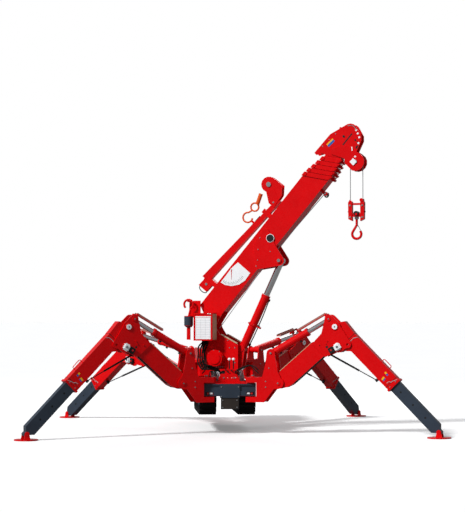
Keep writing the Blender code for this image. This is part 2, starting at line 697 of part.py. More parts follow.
def build_boom(slew_axis):
    px, pz = BOOM_FOOT
    foot = empty("boom_axis", (px, 0.0, pz), (0.0, -radians(BOOM_ANGLE), 0.0), slew_axis)
    half, low, top = section_sizes(0)
    end = BOOM_END_TOP
    stop = end - COLLAR_LENGTH / 2
    side = [(BOOM_TAIL_TOP, top), (stop, top), (lean(stop, low), low), (0.16, low), (0.02, -0.05)]
    side += arc((0.0, 0.0), 0.052, -80, -200, 6) + [(BOOM_TAIL_TOP - 0.05, 0.12)]
    base = plate(side, -half, half)
    band = collar(end, low - COLLAR_PROUD, top + COLLAR_PROUD, half + COLLAR_PROUD)
    ex, ez = LIFT_EYE_ALONG, -LIFT_EYE_BELOW
    doubler = [(0.773, low + 0.004), (ex - 0.052, ez - 0.027)] + arc((ex, ez), 0.055, -140, -20, 5)
    doubler += [(1.105, -0.031), (1.189, 0.156), (1.165, 0.196), (0.975, 0.172), (0.932, 0.147)]
    lugs = side_plates(doubler, half - 0.004, PLATE + 0.004)
    parts = [band] + lugs
    parts.append(box(ROLLER_AT - 0.015, ROLLER_AT + 0.015, -0.030, 0.030, low - 0.045, low + 0.004))
    parts.append(rod("y", (ROLLER_AT, low - 0.050), -0.045, 0.045, 0.022, SMALL_ROUND))
    for y in (-1, 1):
        a, b = sorted((y * (half + PLATE - 0.002), y * (half + PLATE + 0.012)))
        parts.append(rod("y", (ex, ez), a, b, 0.030, SMALL_ROUND))
    base = merged(base, parts)
    inner = BOOM_WALL
    next_half, next_low, next_top = section_sizes(1)
    tail = 0.20
    hollow = [(tail, low + inner), (end - 0.03 + BOOM_RAKE, low + inner), (end - 0.03, top - inner),
              (tail, top - inner)]
    g = SEAT_GAP
    cuts = [plate(hollow, -half + inner, half - inner),
            box(tail + 0.1, end + 0.5, -next_half - g, next_half + g, next_low - g, next_top + g),
            box(-0.12, tail - 0.015, -half + 0.012, half - 0.012, -0.12, top - 0.02),
            rod("y", (0.0, 0.0), -0.2, 0.2, BOOM_PIN_RADIUS + PIN_GAP)]
    finish(cut(base, cuts), "boom_base_section", "red", foot)

    previous = foot
    for i in range(1, SECTIONS + 1):
        half, low, top = section_sizes(i)
        start = tail + 0.02 + 0.03 * (i - 1)
        end = BOOM_END_TOP + i * COLLAR_LENGTH + 0.004 * i
        slide = empty("section_%d_axis" % (i + 1), (0.0, 0.0, 0.0), (0.0, 0.0, 0.0), previous)
        skin = raked(start, end - COLLAR_LENGTH / 2, low, top, half)
        proud = COLLAR_PROUD + 0.004
        band = collar(end, low - proud, top + proud, half + proud, 0.002)
        skin = merged(skin, [band])
        wall = SECTION_WALL
        if i < SECTIONS:
            next_half, next_low, next_top = section_sizes(i + 1)
            cuts = [raked(start + 0.01, end - 0.03, low + wall, top - wall, half - wall),
                    box(start + 0.1, end + 0.5, -next_half - g, next_half + g, next_low - g, next_top + g)]
            skin = cut(skin, cuts)
        finish(skin, "boom_section_%d" % (i + 1), "red", slide)
        previous = slide

    tip = (TIP_ALONG, -TIP_BELOW)
    _, low5, top5 = section_sizes(SECTIONS)
    head_start = BOOM_END_TOP + SECTIONS * (COLLAR_LENGTH + 0.004) + SEAT_GAP
    side = [(2.134, 0.256), (2.190, 0.216), (2.203, 0.150), (2.300, -0.010), (2.262, -0.050),
            (2.262, -0.110)]
    side += arc(tip, 0.090, 190, 330, 5)
    side += [(2.435, -0.067), (2.560, -0.033), (2.601, 0.002)] + arc((2.560, 0.125), 0.084, -30, 60, 4)
    side += [(2.400, 0.279), (2.138, 0.288)]
    cover = [(2.297, -0.012), (2.243, 0.132), (2.284, 0.166), (2.355, 0.118), (2.419, 0.047)]
    cover += arc(tip, 0.100, 10, -160, 7) + [(2.262, -0.050)]
    thick = HEAD_COVER_THICK
    across = HEAD_HALF_WIDTH + 0.004
    parts = side_plates(side, HEAD_HALF_WIDTH, HEAD_PLATE_THICK)
    parts += side_plates(cover, HEAD_HALF_WIDTH + HEAD_PLATE_THICK / 2, thick)
    root = raked(head_start, head_start + 0.030, low5 + 0.004, top5 - 0.004, across)
    parts.append(box(2.170, 2.185, -across, across, 0.240, 0.280))
    parts.append(rod("y", tip, -across - thick - 0.005, across + thick + 0.005, TIP_PIN_RADIUS))
    for spot in HEAD_SPACERS:
        parts.append(rod("y", spot, -across, across, 0.014, SMALL_ROUND))
    finish(merged(root, parts), "boom_head", "red", previous)
    sheave = rod("y", tip, -SHEAVE_WIDTH / 2, SHEAVE_WIDTH / 2, SHEAVE_RADIUS, BIG_ROUND)
    sheave = cut(sheave, [rod("y", tip, -0.1, 0.1, TIP_PIN_RADIUS + PIN_GAP)])
    finish(sheave, "head_sheave", "black", previous)

    seat = BOOM_HEIGHT - BOOM_BELOW + SEAT_GAP
    beam = [(JIB_TAIL, JIB_LOW[0]), (JIB_END, JIB_LOW[1]), (JIB_END, JIB_HIGH[1]), (JIB_TAIL, JIB_HIGH[0])]
    jib = plate(beam, -JIB_HALF_WIDTH, JIB_HALF_WIDTH)
    nose = [(1.400, 0.270), (1.558, 0.286), (1.645, 0.350)] + arc(JIB_HEAD, JIB_HEAD_RADIUS, 0, 200, 8)
    nose += [(1.400, 0.345)]
    tail = [(0.206, 0.283), (0.309, 0.275), (0.340, 0.335), (0.340, 0.405), (0.289, 0.391), (0.206, 0.397)]
    parts = side_plates(nose, JIB_HALF_WIDTH - 0.004, 0.010) + side_plates(tail, 0.016, 0.012)
    parts.append(rod("y", JIB_HEAD, -JIB_HALF_WIDTH - 0.010, JIB_HALF_WIDTH + 0.010, 0.018, SMALL_ROUND))
    for x in JIB_SADDLES:
        parts.append(box(x - 0.025, x + 0.025, -JIB_HALF_WIDTH - 0.008, JIB_HALF_WIDTH + 0.008, seat, 0.345))
    x, y = STOWED_HOOK
    seat = y - 0.055 - ORANGE_BAR + FACET_SINK
    parts.append(box(x - 0.012, x + 0.012, -0.012, 0.012, 0.330, seat))
    finish(merged(jib, parts), "searcher_jib", "red", foot)
    hook = eye_hook(STOWED_HOOK, 0.055, [(x + 0.085, y + 0.012)], 30, 300, 0.0, ORANGE_BAR)
    ring = bent_bar(arc(STOWED_RING, 0.045, 0, 330, 11), 0.0, ORANGE_BAR, True)
    swivel = rod("x", (0.0, 0.0), 0.0, 0.125, 0.022, SMALL_ROUND)
    swivel.data.transform(Matrix.Translation((1.300, 0.0, 0.448)) @ Matrix.Rotation(-radians(20), 4, "Y"))
    finish(merged(hook, [ring, swivel]), "jib_hook", "orange", foot)

    side = -BOOM_HALF_WIDTH - SEAT_GAP
    dial = plate(DIAL_OUTLINE, side - DIAL_THICK, side)
    needle = box(DIAL_PIVOT[0] - 0.006, DIAL_PIVOT[0] + 0.006, side - 0.012, side - 0.001,
                 DIAL_PIVOT[1] - 0.012, DIAL_PIVOT[1] - 0.002)
    finish(merged(dial, [needle]), "angle_dial", "white", foot)
    return foot, previous


def build_lift_cylinder(slew_axis):
    fx, fz = LIFT_FOOT
    angle = radians(BOOM_ANGLE)
    ex = BOOM_FOOT[0] + LIFT_EYE_ALONG * cos(angle) + LIFT_EYE_BELOW * sin(angle)
    ez = BOOM_FOOT[1] + LIFT_EYE_ALONG * sin(angle) - LIFT_EYE_BELOW * cos(angle)
    length = hypot(ex - fx, ez - fz)
    slope = atan2(ez - fz, ex - fx)
    base = empty("lift_cylinder_axis", (fx, 0.0, fz), (0.0, -slope, 0.0), slew_axis)
    width = LIFT_FORK_IN - RUN_GAP
    barrel = rod("x", (0.0, 0.0), 0.02, LIFT_GLAND_AT, LIFT_BARREL_RADIUS)
    parts = [rod("y", (0.0, 0.0), -width, width, 0.042),
             rod("x", (0.0, 0.0), LIFT_GLAND_AT - 0.03, LIFT_GLAND_AT + 0.004, LIFT_BARREL_RADIUS + 0.004),
             rod("x", (0.0, 0.0), LIFT_CLAMP_AT - 0.006, LIFT_CLAMP_AT + 0.006, LIFT_BARREL_RADIUS + 0.016),
             box(LIFT_CLAMP_AT - 0.008, LIFT_CLAMP_AT + 0.008, -0.022, 0.022, -0.092, -0.040)]
    barrel = merged(barrel, parts)
    bores = [rod("y", (0.0, 0.0), -0.1, 0.1, LIFT_PIN_RADIUS + PIN_GAP),
             rod("x", (0.0, 0.0), LIFT_BORE_AT, LIFT_GLAND_AT + 0.05, LIFT_ROD_RADIUS + PIN_GAP)]
    finish(cut(barrel, bores), "lift_cylinder_barrel", "red", base)
    across = BOOM_HALF_WIDTH - RUN_GAP
    eye = rod("y", (length, 0.0), -0.034, 0.034, LIFT_EYE_RADIUS)
    parts = [rod("x", (0.0, 0.0), length - LIFT_ROD_LENGTH, length - 0.02, LIFT_ROD_RADIUS),
             rod("y", (length, 0.0), -across, across, 0.018, SMALL_ROUND)]
    finish(merged(eye, parts), "lift_cylinder_rod", "chrome", base)


def build_hook_gear(slew_axis):
    """Rope falls, hook block and hook below the boom tip."""
    angle = radians(BOOM_ANGLE)
    tx = BOOM_FOOT[0] + TIP_ALONG * cos(angle) + TIP_BELOW * sin(angle)
    tz = BOOM_FOOT[1] + TIP_ALONG * sin(angle) - TIP_BELOW * cos(angle)
    base = empty("hook_axis", (tx, 0.0, tz), (0.0, 0.0, 0.0), slew_axis)
    top = HOOK_BLOCK_TOP - tz
    low = HOOK_BLOCK_LOW - tz
    block = box(-0.052, 0.052, -0.022, 0.022, low + 0.045, low + 0.085)
    parts = []
    for side in (-1, 1):
        cheek = [(side * 0.045, low), (side * 0.085, low + 0.02), (side * 0.088, top - 0.03),
                 (side * 0.07, top), (side * 0.045, top - 0.02)]
        if side > 0:
            cheek = cheek[::-1]
        parts.append(plate(cheek, -0.030, 0.030))
    parts.append(box(-0.060, 0.060, -0.018, 0.018, top - 0.055, top - 0.035))
    parts.append(rod("y", (0.058, top - 0.004), -0.034, 0.034, 0.020, SMALL_ROUND))
    finish(merged(block, parts), "hook_block", "red", base)
    reach = SHEAVE_RADIUS + ROPE_RADIUS + ROPE_PLAY
    run = [(-reach, top + SEAT_GAP)] + arc((0.0, 0.0), reach, 180, 0, 14) + [(reach, top + 0.018)]
    finish(bent_bar(run, 0.0, ROPE_RADIUS), "hoist_rope", "steel", base)
    bowl = (0.0, HOOK_BOWL - tz)
    neck = [(0.0, low + 0.045 - SEAT_GAP), (0.0, bowl[1] + HOOK_BOWL_RADIUS + 0.045)]
    hook = eye_hook(bowl, HOOK_BOWL_RADIUS, neck, 150, 400, 0.0, HOOK_BAR, 13)
    finish(hook, "load_hook", "red", base)


def build_leg(name, side, pin_y, foot_x, foot_y, arm_angle, shin_angle, end, low, high, thick):
    pin = (side * LEG_PIN_X, pin_y)
    azimuth = atan2(foot_y - pin_y, side * foot_x - pin[0])
    reach = hypot(foot_y - pin_y, side * foot_x - pin[0])
    swing = empty(name + "_swing_axis", (pin[0], pin[1], 0.0), (0.0, 0.0, azimuth))
    ax, az = ARM_ROOT
    cx, cz = RAM_FOOT
    inner = CHEEK_IN
    width = CHEEK_IN + CHEEK_THICK

    upper = high - thick
    cheek = [(YOKE_WEB, low), (0.146, low), (0.2525, 0.480), (0.300, az - 0.062)] if low < 0.5 else \
        [(YOKE_WEB, low), (0.20, low), (0.26, 0.480), (0.300, az - 0.062)]
    cheek += arc(ARM_ROOT, 0.062, -60, 60, 5)
    cheek += [(0.296, 0.66), (0.279, 0.743)] + arc(RAM_FOOT, 0.045, -10, 180, 6)
    cheek += [(0.162, max(0.74, high + 0.01)), (0.125, high + 0.005), (YOKE_WEB, high)]
    bracket = box(-LUG_REACH, YOKE_WEB + 0.03, -width, width, low, low + thick)
    parts = side_plates(cheek, inner, CHEEK_THICK)
    parts.append(box(-LUG_REACH, YOKE_WEB + 0.03, -width, width, upper, high))
    parts.append(box(YOKE_WEB, YOKE_WEB + 0.012, -inner - 0.004, inner + 0.004, low + 0.01, high - 0.01))
    parts.append(rod("z", (0.0, 0.0), low + 0.01, high + 0.012, SWING_PIN_RADIUS))
    parts.append(rod("y", ARM_ROOT, -width - 0.006, width + 0.006, ROOT_PIN_RADIUS))
    parts.append(rod("y", RAM_FOOT, -width - 0.006, width + 0.006, RAM_PIN_RADIUS, SMALL_ROUND))
    finish(merged(bracket, parts), name + "_swing_bracket", "red", swing)

    arm = empty(name + "_arm_axis", (ax, 0.0, az), (0.0, -radians(arm_angle), 0.0), swing)
    w = ARM_HALF_WIDTH
    e = ARM_BOX_END
    beam = [(0.03, -ARM_BELOW * 0.85), (0.09, -ARM_BELOW + ARM_SLOPE * 0.09),
            (e, -ARM_BELOW + ARM_SLOPE * e), (e, ARM_TOP + ARM_SLOPE * e),
            (0.10, ARM_TOP + ARM_SLOPE * 0.10)] + arc((0.0, 0.0), 0.052, 100, 250, 6)
    arm_solid = plate(beam, -w, w)
    knee = (ARM_TO_KNEE, 0.0)
    locks = [polar(knee, LOCK_RADIUS, a) for a in LOCK_ANGLES]
    eye = (EYE_ALONG, EYE_ABOVE)
    cheek = arc(locks[2], 0.040, -150, -10, 4) + arc(knee, 0.060, -40, 20, 3) + arc(eye, 0.045, 0, 150, 5)
    cheek += [(0.700, 0.050), (e - 0.025, ARM_TOP + ARM_SLOPE * e - 0.012), (e - 0.010, -0.155)]
    cheek += arc(locks[1], 0.045, -170, -110, 2)
    parts = side_plates(cheek, w - 0.004, CHEEK_THICK + 0.004)
    plate_out = w + CHEEK_THICK
    parts.append(rod("y", knee, -plate_out - 0.006, plate_out + 0.006, KNEE_PIN_RADIUS))
    for y in (-1, 1):
        a, b = sorted((y * (plate_out - 0.002), y * (plate_out + 0.008)))
        parts.append(rod("y", knee, a, b, 0.034))
        parts.append(rod("y", eye, a, b, 0.024, SMALL_ROUND))
    guard_low = (EYE_ALONG, EYE_ABOVE + GUARD_ABOVE)
    guard = [guard_low, polar(guard_low, GUARD_LENGTH, GUARD_ANGLE)]
    guard += [polar(guard[1], GUARD_THICK, GUARD_ANGLE - 90)]
    guard += [polar(guard_low, GUARD_THICK, GUARD_ANGLE - 90)]
    parts.append(plate(guard, -GUARD_HALF_WIDTH, GUARD_HALF_WIDTH))
    for y in (-1, 1):
        a, b = sorted((y * GUARD_LUG_IN, y * (plate_out - 0.001)))
        parts.append(box(EYE_ALONG - 0.012, EYE_ALONG + 0.012, a, b,
                         EYE_ABOVE + GUARD_ABOVE - 0.026, EYE_ABOVE + GUARD_ABOVE + 0.002))
    arm_solid = merged(arm_solid, parts)
    lock_at = 1 if shin_angle < -40 else 2
    bores = [rod("y", (0.0, 0.0), -0.2, 0.2, ROOT_PIN_RADIUS + PIN_GAP)]
    bores += [rod("y", lock, -0.2, 0.2, 0.013, HOLE_SIDES) for lock in locks if lock != locks[lock_at]]
    arm_solid = cut(arm_solid, bores)
    finish(arm_solid, name + "_upper_arm", "red", arm)

    kx, kz = polar(ARM_ROOT, ARM_TO_KNEE, arm_angle)
    shin = empty(name + "_shin_axis", (kx, 0.0, kz), (0.0, -radians(shin_angle), 0.0), swing)
    lug = polar((0.0, 0.0), LOCK_RADIUS, LOCK_ANGLES[lock_at] + arm_angle - shin_angle)
    outline = arc((0.0, 0.0), SHIN_HEAD_RADIUS, 110, 250, 6) + [(0.07, -0.10)]
    outline += arc(lug, 0.035, -130, 0, 4) + [(0.30, -SHIN_BELOW), (SHIN_LENGTH, -SHIN_BELOW)]
    outline += [(SHIN_LENGTH, SHIN_TOP), (0.20, SHIN_TOP), (0.03, 0.112)]
    tube = plate(outline, -SHIN_HALF_WIDTH, SHIN_HALF_WIDTH)
    lip = 0.008
    rim = box(SHIN_LENGTH - 0.022, SHIN_LENGTH, -SHIN_HALF_WIDTH - lip, SHIN_HALF_WIDTH + lip,
              -SHIN_BELOW - lip, SHIN_TOP + lip)
    tube = merged(tube, [rim])
    middle = (SHIN_TOP - SHIN_BELOW) / 2
    half_foot = FOOT_HEIGHT / 2
    g = SEAT_GAP
    t = SHIN_WALL
    cuts = [box(SHIN_HOLLOW_AT, SHIN_LENGTH - 0.03, -SHIN_HALF_WIDTH + t, SHIN_HALF_WIDTH - t,
                -SHIN_BELOW + t, SHIN_TOP - t),
            box(SHIN_LENGTH - 0.05, SHIN_LENGTH + 0.05, -FOOT_HALF_WIDTH - g, FOOT_HALF_WIDTH + g,
                middle - half_foot - g, middle + half_foot + g),
            rod("y", (0.0, 0.0), -0.2, 0.2, KNEE_PIN_RADIUS + PIN_GAP)]
    finish(cut(tube, cuts), name + "_lower_arm", "red", shin)

    foot = empty(name + "_foot_axis", (0.0, 0.0, 0.0), (0.0, 0.0, 0.0), shin)
    start = end - FOOT_LENGTH
    floor, top = middle - half_foot, middle + half_foot
    outline = [(start, floor), (end - 0.050, floor), (end - 0.012, floor + 0.038)]
    outline += arc((end, middle), FOOT_EYE_RADIUS, -60, 60, 6)
    outline += [(end - 0.012, top - 0.038), (end - 0.050, top), (start, top)]
    inner_leg = plate(outline, -FOOT_HALF_WIDTH, FOOT_HALF_WIDTH)
    holes = [rod("y", (end - x, middle), -0.2, 0.2, FOOT_HOLE_RADIUS, HOLE_SIDES) for x in FOOT_HOLES]
    holes.append(rod("y", (end, middle), -0.2, 0.2, PAD_PIN_RADIUS + PIN_GAP, SMALL_ROUND))
    finish(cut(inner_leg, holes), name + "_inner_leg", "slate", foot)

    tilt = radians(shin_angle)
    pin_at = (kx + end * cos(tilt) - middle * sin(tilt), kz + end * sin(tilt) + middle * cos(tilt))
    ground = empty(name + "_pad_axis", (reach, 0.0, 0.0), (0.0, 0.0, 0.0), swing)
    pad = rod("z", (0.0, 0.0), 0.0, PAD_THICK, PAD_RADIUS, BIG_ROUND)
    joint = (pin_at[0] - reach, pin_at[1])
    lug = [(joint[0] - 0.034, PAD_THICK - 0.003), (joint[0] + 0.034, PAD_THICK - 0.003)]
    lug += arc(joint, PAD_LUG_RADIUS, -10, 190, 8)
    inside = FOOT_HALF_WIDTH + SEAT_GAP
    parts = side_plates(lug, inside, PAD_LUG_THICK)
    parts += pin_with_heads(joint, inside, PAD_PIN_RADIUS, 0.017, PAD_LUG_THICK, 0.004)
    finish(merged(pad, parts), name + "_pad", "red", ground)

    rx, rz = polar(ARM_ROOT, hypot(EYE_ALONG, EYE_ABOVE), arm_angle + degrees(atan2(EYE_ABOVE, EYE_ALONG)))
    length = hypot(rx - cx, rz - cz)
    slope = atan2(rz - cz, rx - cx)
    ram = empty(name + "_ram_axis", (cx, 0.0, cz), (0.0, -slope, 0.0), swing)
    barrel = rod("x", (0.0, 0.0), 0.012, RAM_GLAND_AT, RAM_BARREL_RADIUS)
    parts = [rod("y", (0.0, 0.0), -CHEEK_IN + RUN_GAP, CHEEK_IN - RUN_GAP, 0.032, SMALL_ROUND),
             rod("x", (0.0, 0.0), RAM_GLAND_AT - 0.02, RAM_GLAND_AT + 0.003, RAM_BARREL_RADIUS + 0.004)]
    barrel = merged(barrel, parts)
    bores = [rod("y", (0.0, 0.0), -0.1, 0.1, RAM_PIN_RADIUS + PIN_GAP),
             rod("x", (0.0, 0.0), 0.06, RAM_GLAND_AT + 0.05, RAM_ROD_RADIUS + PIN_GAP)]
    finish(cut(barrel, bores), name + "_ram_barrel", "red", ram)
    eye_solid = rod("y", (length, 0.0), -0.020, 0.020, RAM_EYE_RADIUS, SMALL_ROUND)
    parts = [rod("x", (0.0, 0.0), length - RAM_ROD_LENGTH, length - 0.015, RAM_ROD_RADIUS),
             rod("y", (length, 0.0), -SHIN_HALF_WIDTH, SHIN_HALF_WIDTH, 0.014, SMALL_ROUND)]
    finish(merged(eye_solid, parts), name + "_ram_rod", "chrome", ram)


def main():
    clear_scene()
    build_chassis()
    build_track("left", -1)
    build_track("right", 1)
    build_rear_body()
    slew_axis = build_slewing_part()
    build_boom(slew_axis)
    build_lift_cylinder(slew_axis)
    build_hook_gear(slew_axis)
    for leg in LEGS:
        build_leg(*leg)


main()
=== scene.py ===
"""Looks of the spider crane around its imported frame: paint, rubber, chrome and small fittings.

Lengths are in metres and turns in degrees. A fitting is drawn in the frame of the body that
carries it: x along the part, z up in the part's own plane and y across it. The chassis fittings
are drawn in the world's frame, and so are the pieces that stretch between two bodies.
"""
import bpy
import bmesh
import json
from math import cos, pi, radians, sin
from mathutils import Matrix, Vector


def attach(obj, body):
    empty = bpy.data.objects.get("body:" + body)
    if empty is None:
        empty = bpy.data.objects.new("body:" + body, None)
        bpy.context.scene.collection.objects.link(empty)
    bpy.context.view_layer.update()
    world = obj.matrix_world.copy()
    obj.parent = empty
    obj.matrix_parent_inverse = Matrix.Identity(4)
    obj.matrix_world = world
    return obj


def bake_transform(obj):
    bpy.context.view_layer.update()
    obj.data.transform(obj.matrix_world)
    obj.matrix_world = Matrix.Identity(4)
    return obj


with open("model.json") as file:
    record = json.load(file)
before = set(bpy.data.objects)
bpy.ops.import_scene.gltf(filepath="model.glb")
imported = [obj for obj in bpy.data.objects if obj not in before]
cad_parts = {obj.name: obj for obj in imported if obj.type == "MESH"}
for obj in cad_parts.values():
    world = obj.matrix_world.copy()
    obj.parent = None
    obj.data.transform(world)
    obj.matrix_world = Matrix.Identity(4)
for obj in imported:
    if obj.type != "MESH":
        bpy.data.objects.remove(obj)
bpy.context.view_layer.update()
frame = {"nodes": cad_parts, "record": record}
NODES = frame["nodes"]
LEGS = ("front_left", "front_right", "rear_left", "rear_right")

# Colours, linear
RED = (0.72, 0.0008, 0.0025)
SLATE = (0.031, 0.044, 0.065)
BLACK = (0.006, 0.006, 0.007)
RUBBER = (0.006, 0.0055, 0.005)
CHROME = (0.80, 0.81, 0.82)
STEEL = (0.36, 0.37, 0.38)
WHITE = (0.93, 0.95, 0.97)
SAND = (0.58, 0.41, 0.26)
ORANGE = (0.80, 0.10, 0.01)
YELLOW = (0.85, 0.48, 0.01)
BLUE = (0.02, 0.11, 0.45)
GREY = (0.42, 0.44, 0.46)
GUARD = (0.42, 0.16, 0.13)
GUARD_DARK = (0.030, 0.022, 0.018)
LAMP_RED = (0.60, 0.01, 0.01)

# How every finish spreads its noise over tone, gloss and relief; gloss has the finer clouds
TONE_RANGE = (0.30, 0.72)
GLOSS_RANGE = (0.30, 0.75)
GLOSS_SCALE = 5.0
GRAIN_STRENGTH = 0.35
COAT_ROUGHNESS = 0.12

# Light, floor and camera; powers in the units of each lamp's kind
WORLD_LIGHT = 0.27
WORLD_TINT = (0.93, 0.96, 1.0, 1.0)
PURE_WHITE = (1.0, 1.0, 1.0, 1.0)
FLOOR_HALF = 400.0
FLOOR_GLOW = 0.20
FLOOR_TONE = 0.93
FLOOR_TONE_VARY = 0.02
FLOOR_TONE_RANGE = (0.3, 0.7)
FLOOR_CLOUD = 0.6
FLOOR_BOUNCE = 0.22
SUN_PLACE = (-7.0, -5.2, 7.5)
SUN_TARGET = (0.0, 0.0, 0.8)
SUN_ANGLE = 9.0
SUN_POWER = 3.2
RIM_PLACE = (3.0, 8.0, 7.0)
RIM_TARGET = (0.0, 0.0, 1.2)
RIM_SIZE = 5.0
RIM_POWER = 200.0
CAMERA_SENSOR = 36.0
CAMERA_LENS = 119.53
CAMERA_PLACE = (-1.174, -19.024, 1.286)
CAMERA_YAW = 3.85
CAMERA_UP = 1.887
CAMERA_REACH = 200.0

# Sides of a bolt head, and the angle between faces from which an edge is drawn sharp
HEX = 6
SHARP_ANGLE = 36.0
# Turns that lay a bar made along z along another axis
AXIS_TURN = {
    "x": Matrix.Rotation(pi / 2, 4, "Y"),
    "y": Matrix.Rotation(pi / 2, 4, "X"),
    "z": Matrix.Identity(4),
}


class Nodes:
    """Small helper that lays out a material's shader nodes."""

    def __init__(self, name):
        self.made = bpy.data.materials.new(name)
        self.made.use_nodes = True
        self.tree = self.made.node_tree
        self.shader = self.tree.nodes["Principled BSDF"]

    def add(self, kind, **settings):
        node = self.tree.nodes.new(kind)
        for key, value in settings.items():
            setattr(node, key, value)
        return node

    def link(self, a, out, b, into):
        self.tree.links.new(a.outputs[out], b.inputs[into])

    def noise(self, scale, detail, roughness=0.55):
        place = self.add("ShaderNodeTexCoord")
        node = self.add("ShaderNodeTexNoise")
        node.inputs["Scale"].default_value = scale
        node.inputs["Detail"].default_value = detail
        node.inputs["Roughness"].default_value = roughness
        self.link(place, "Object", node, "Vector")
        return node

    def ramp(self, source, positions, colours):
        """Runs from the first colour to the second between two values of the source's noise."""
        node = self.add("ShaderNodeValToRGB")
        for element, position, colour in zip(node.color_ramp.elements, positions, colours):
            element.position = position
            element.color = (*colour, 1.0)
        self.link(source, "Fac", node, "Fac")
        return node

    def bump(self, source, distance):
        node = self.add("ShaderNodeBump")
        node.inputs["Strength"].default_value = GRAIN_STRENGTH
        node.inputs["Distance"].default_value = distance
        self.link(source, "Fac", node, "Height")
        self.link(node, "Normal", self.shader, "Normal")


def shade(colour, factor):
    return tuple(min(1.0, c * factor) for c in colour)


def finish_of(name, colour, rough, metal=0.0, coat=0.0, vary=0.10, cloud=6.0, grain=900.0,
              relief=0.0002, rough_vary=0.08, gleam=0.30):
    """A surface with slow changes of tone, fine grain in its relief and uneven gloss."""
    n = Nodes(name)
    n.shader.inputs["Metallic"].default_value = metal
    n.shader.inputs["Coat Weight"].default_value = coat
    n.shader.inputs["Specular IOR Level"].default_value = gleam
    n.shader.inputs["Coat Roughness"].default_value = COAT_ROUGHNESS
    slow = n.noise(cloud, detail=4.0)
    tone = n.ramp(slow, TONE_RANGE, (shade(colour, 1.0 - vary), shade(colour, 1.0 + vary)))
    n.link(tone, "Color", n.shader, "Base Color")
    smear = n.noise(cloud * GLOSS_SCALE, detail=5.0, roughness=0.7)
    gloss = n.ramp(smear, GLOSS_RANGE, ((rough - rough_vary,) * 3, (rough + rough_vary,) * 3))
    n.link(gloss, "Color", n.shader, "Roughness")
    fine = n.noise(grain, detail=2.0)
    n.bump(fine, relief)
    return n.made


LOOK = {
    "red": finish_of("red_paint", RED, 0.30, coat=0.04, vary=0.06, grain=260.0, gleam=0.16),
    "slate": finish_of("slate_paint", SLATE, 0.38, coat=0.03, vary=0.12, grain=300.0),
    "black": finish_of("black_paint", BLACK, 0.55, vary=0.25, grain=700.0),
    "rubber": finish_of("black_rubber", RUBBER, 0.78, vary=0.30, cloud=14.0, grain=600.0,
                        relief=0.0006, gleam=0.20),
    "chrome": finish_of("ground_chrome", CHROME, 0.16, metal=1.0, vary=0.04, cloud=20.0,
                        relief=0.00005, rough_vary=0.05),
    "steel": finish_of("bare_steel", STEEL, 0.38, metal=0.9, vary=0.12, cloud=30.0, relief=0.0001),
    "white": finish_of("white_plate", WHITE, 0.42, vary=0.03, relief=0.0001),
    "sand": finish_of("sand_panel", SAND, 0.60, vary=0.10, relief=0.0003),
    "orange": finish_of("orange_paint", ORANGE, 0.42, coat=0.2, vary=0.10, relief=0.0003),
    "yellow": finish_of("yellow_film", YELLOW, 0.45, vary=0.04, relief=0.0001),
    "blue": finish_of("blue_film", BLUE, 0.45, vary=0.06, relief=0.0001),
    "grey": finish_of("grey_print", GREY, 0.60, vary=0.08, relief=0.0001),
    "guard": finish_of("guard_plate", GUARD, 0.50, vary=0.14),
    "guard_dark": finish_of("skid_plate_coat", GUARD_DARK, 0.60, vary=0.20, relief=0.0003),
    "lamp_red": finish_of("lamp_lens_red", LAMP_RED, 0.20, coat=0.6, vary=0.05, relief=0.0001),
}
SLOT = {row["node"]: row["material_slot"] for row in frame["record"]["subparts"]}
for name, node in NODES.items():
    node.data.materials.clear()
    node.data.materials.append(LOOK[SLOT[name]])


# Frames to draw in, taken from the joints
JOINTS = {row["name"]: row for row in frame["record"]["behaviour"]["joints"]}


def joint(name):
    """Place and axis of a joint; one that slides has no place of its own."""
    row = JOINTS[name]
    return Vector(row.get("pos_m", (0.0, 0.0, 0.0))), Vector(row["axis"])


def place_at(origin, x_axis, y_axis):
    """Matrix with its x along x_axis and its y along y_axis, at origin."""
    x = Vector(x_axis).normalized()
    y = Vector(y_axis).normalized()
    z = x.cross(y)
    made = Matrix((x, y, z)).transposed().to_4x4()
    made.translation = origin
    return made


LUFF_AT, LUFF_AXIS = joint("luff")
BOOM_AXIS = joint("telescope_2")[1]
BOOM = place_at(LUFF_AT, BOOM_AXIS, -LUFF_AXIS)
SLEW_AT = joint("slew")[0]
FLAT = Vector((BOOM_AXIS.x, BOOM_AXIS.y, 0.0))
COLUMN = place_at((SLEW_AT.x, SLEW_AT.y, 0.0), FLAT, -LUFF_AXIS)
CYLINDER = place_at(joint("lift_cylinder_swing")[0], joint("lift_cylinder_stroke")[1], -LUFF_AXIS)
HOOK = place_at(joint("hook_swing")[0], FLAT, -LUFF_AXIS)


def leg_frames(leg):
    """Frames of a leg's bracket, arm, shin and ram."""
    swing_at = joint(leg + "_swing")[0]
    arm_at, across = joint(leg + "_lift")
    knee_at = joint(leg + "_knee")[0]
    out = arm_at - swing_at
    out.z = 0.0
    bracket = place_at((swing_at.x, swing_at.y, 0.0), out, across)
    arm = place_at(arm_at, knee_at - arm_at, across)
    shin = place_at(knee_at, joint(leg + "_extend")[1], across)
    ram = place_at(joint(leg + "_ram_swing")[0], joint(leg + "_ram_stroke")[1], across)
    return bracket, arm, shin, ram


def on_circle(centre, radius, turn):
    """Point of a circle in x and z."""
    a = radians(turn)
    return centre[0] + radius * cos(a), centre[1] + radius * sin(a)


def span(side, near, far):
    """The stretch from near to far on one side of the middle, its low end first."""
    return sorted((side * near, side * far))


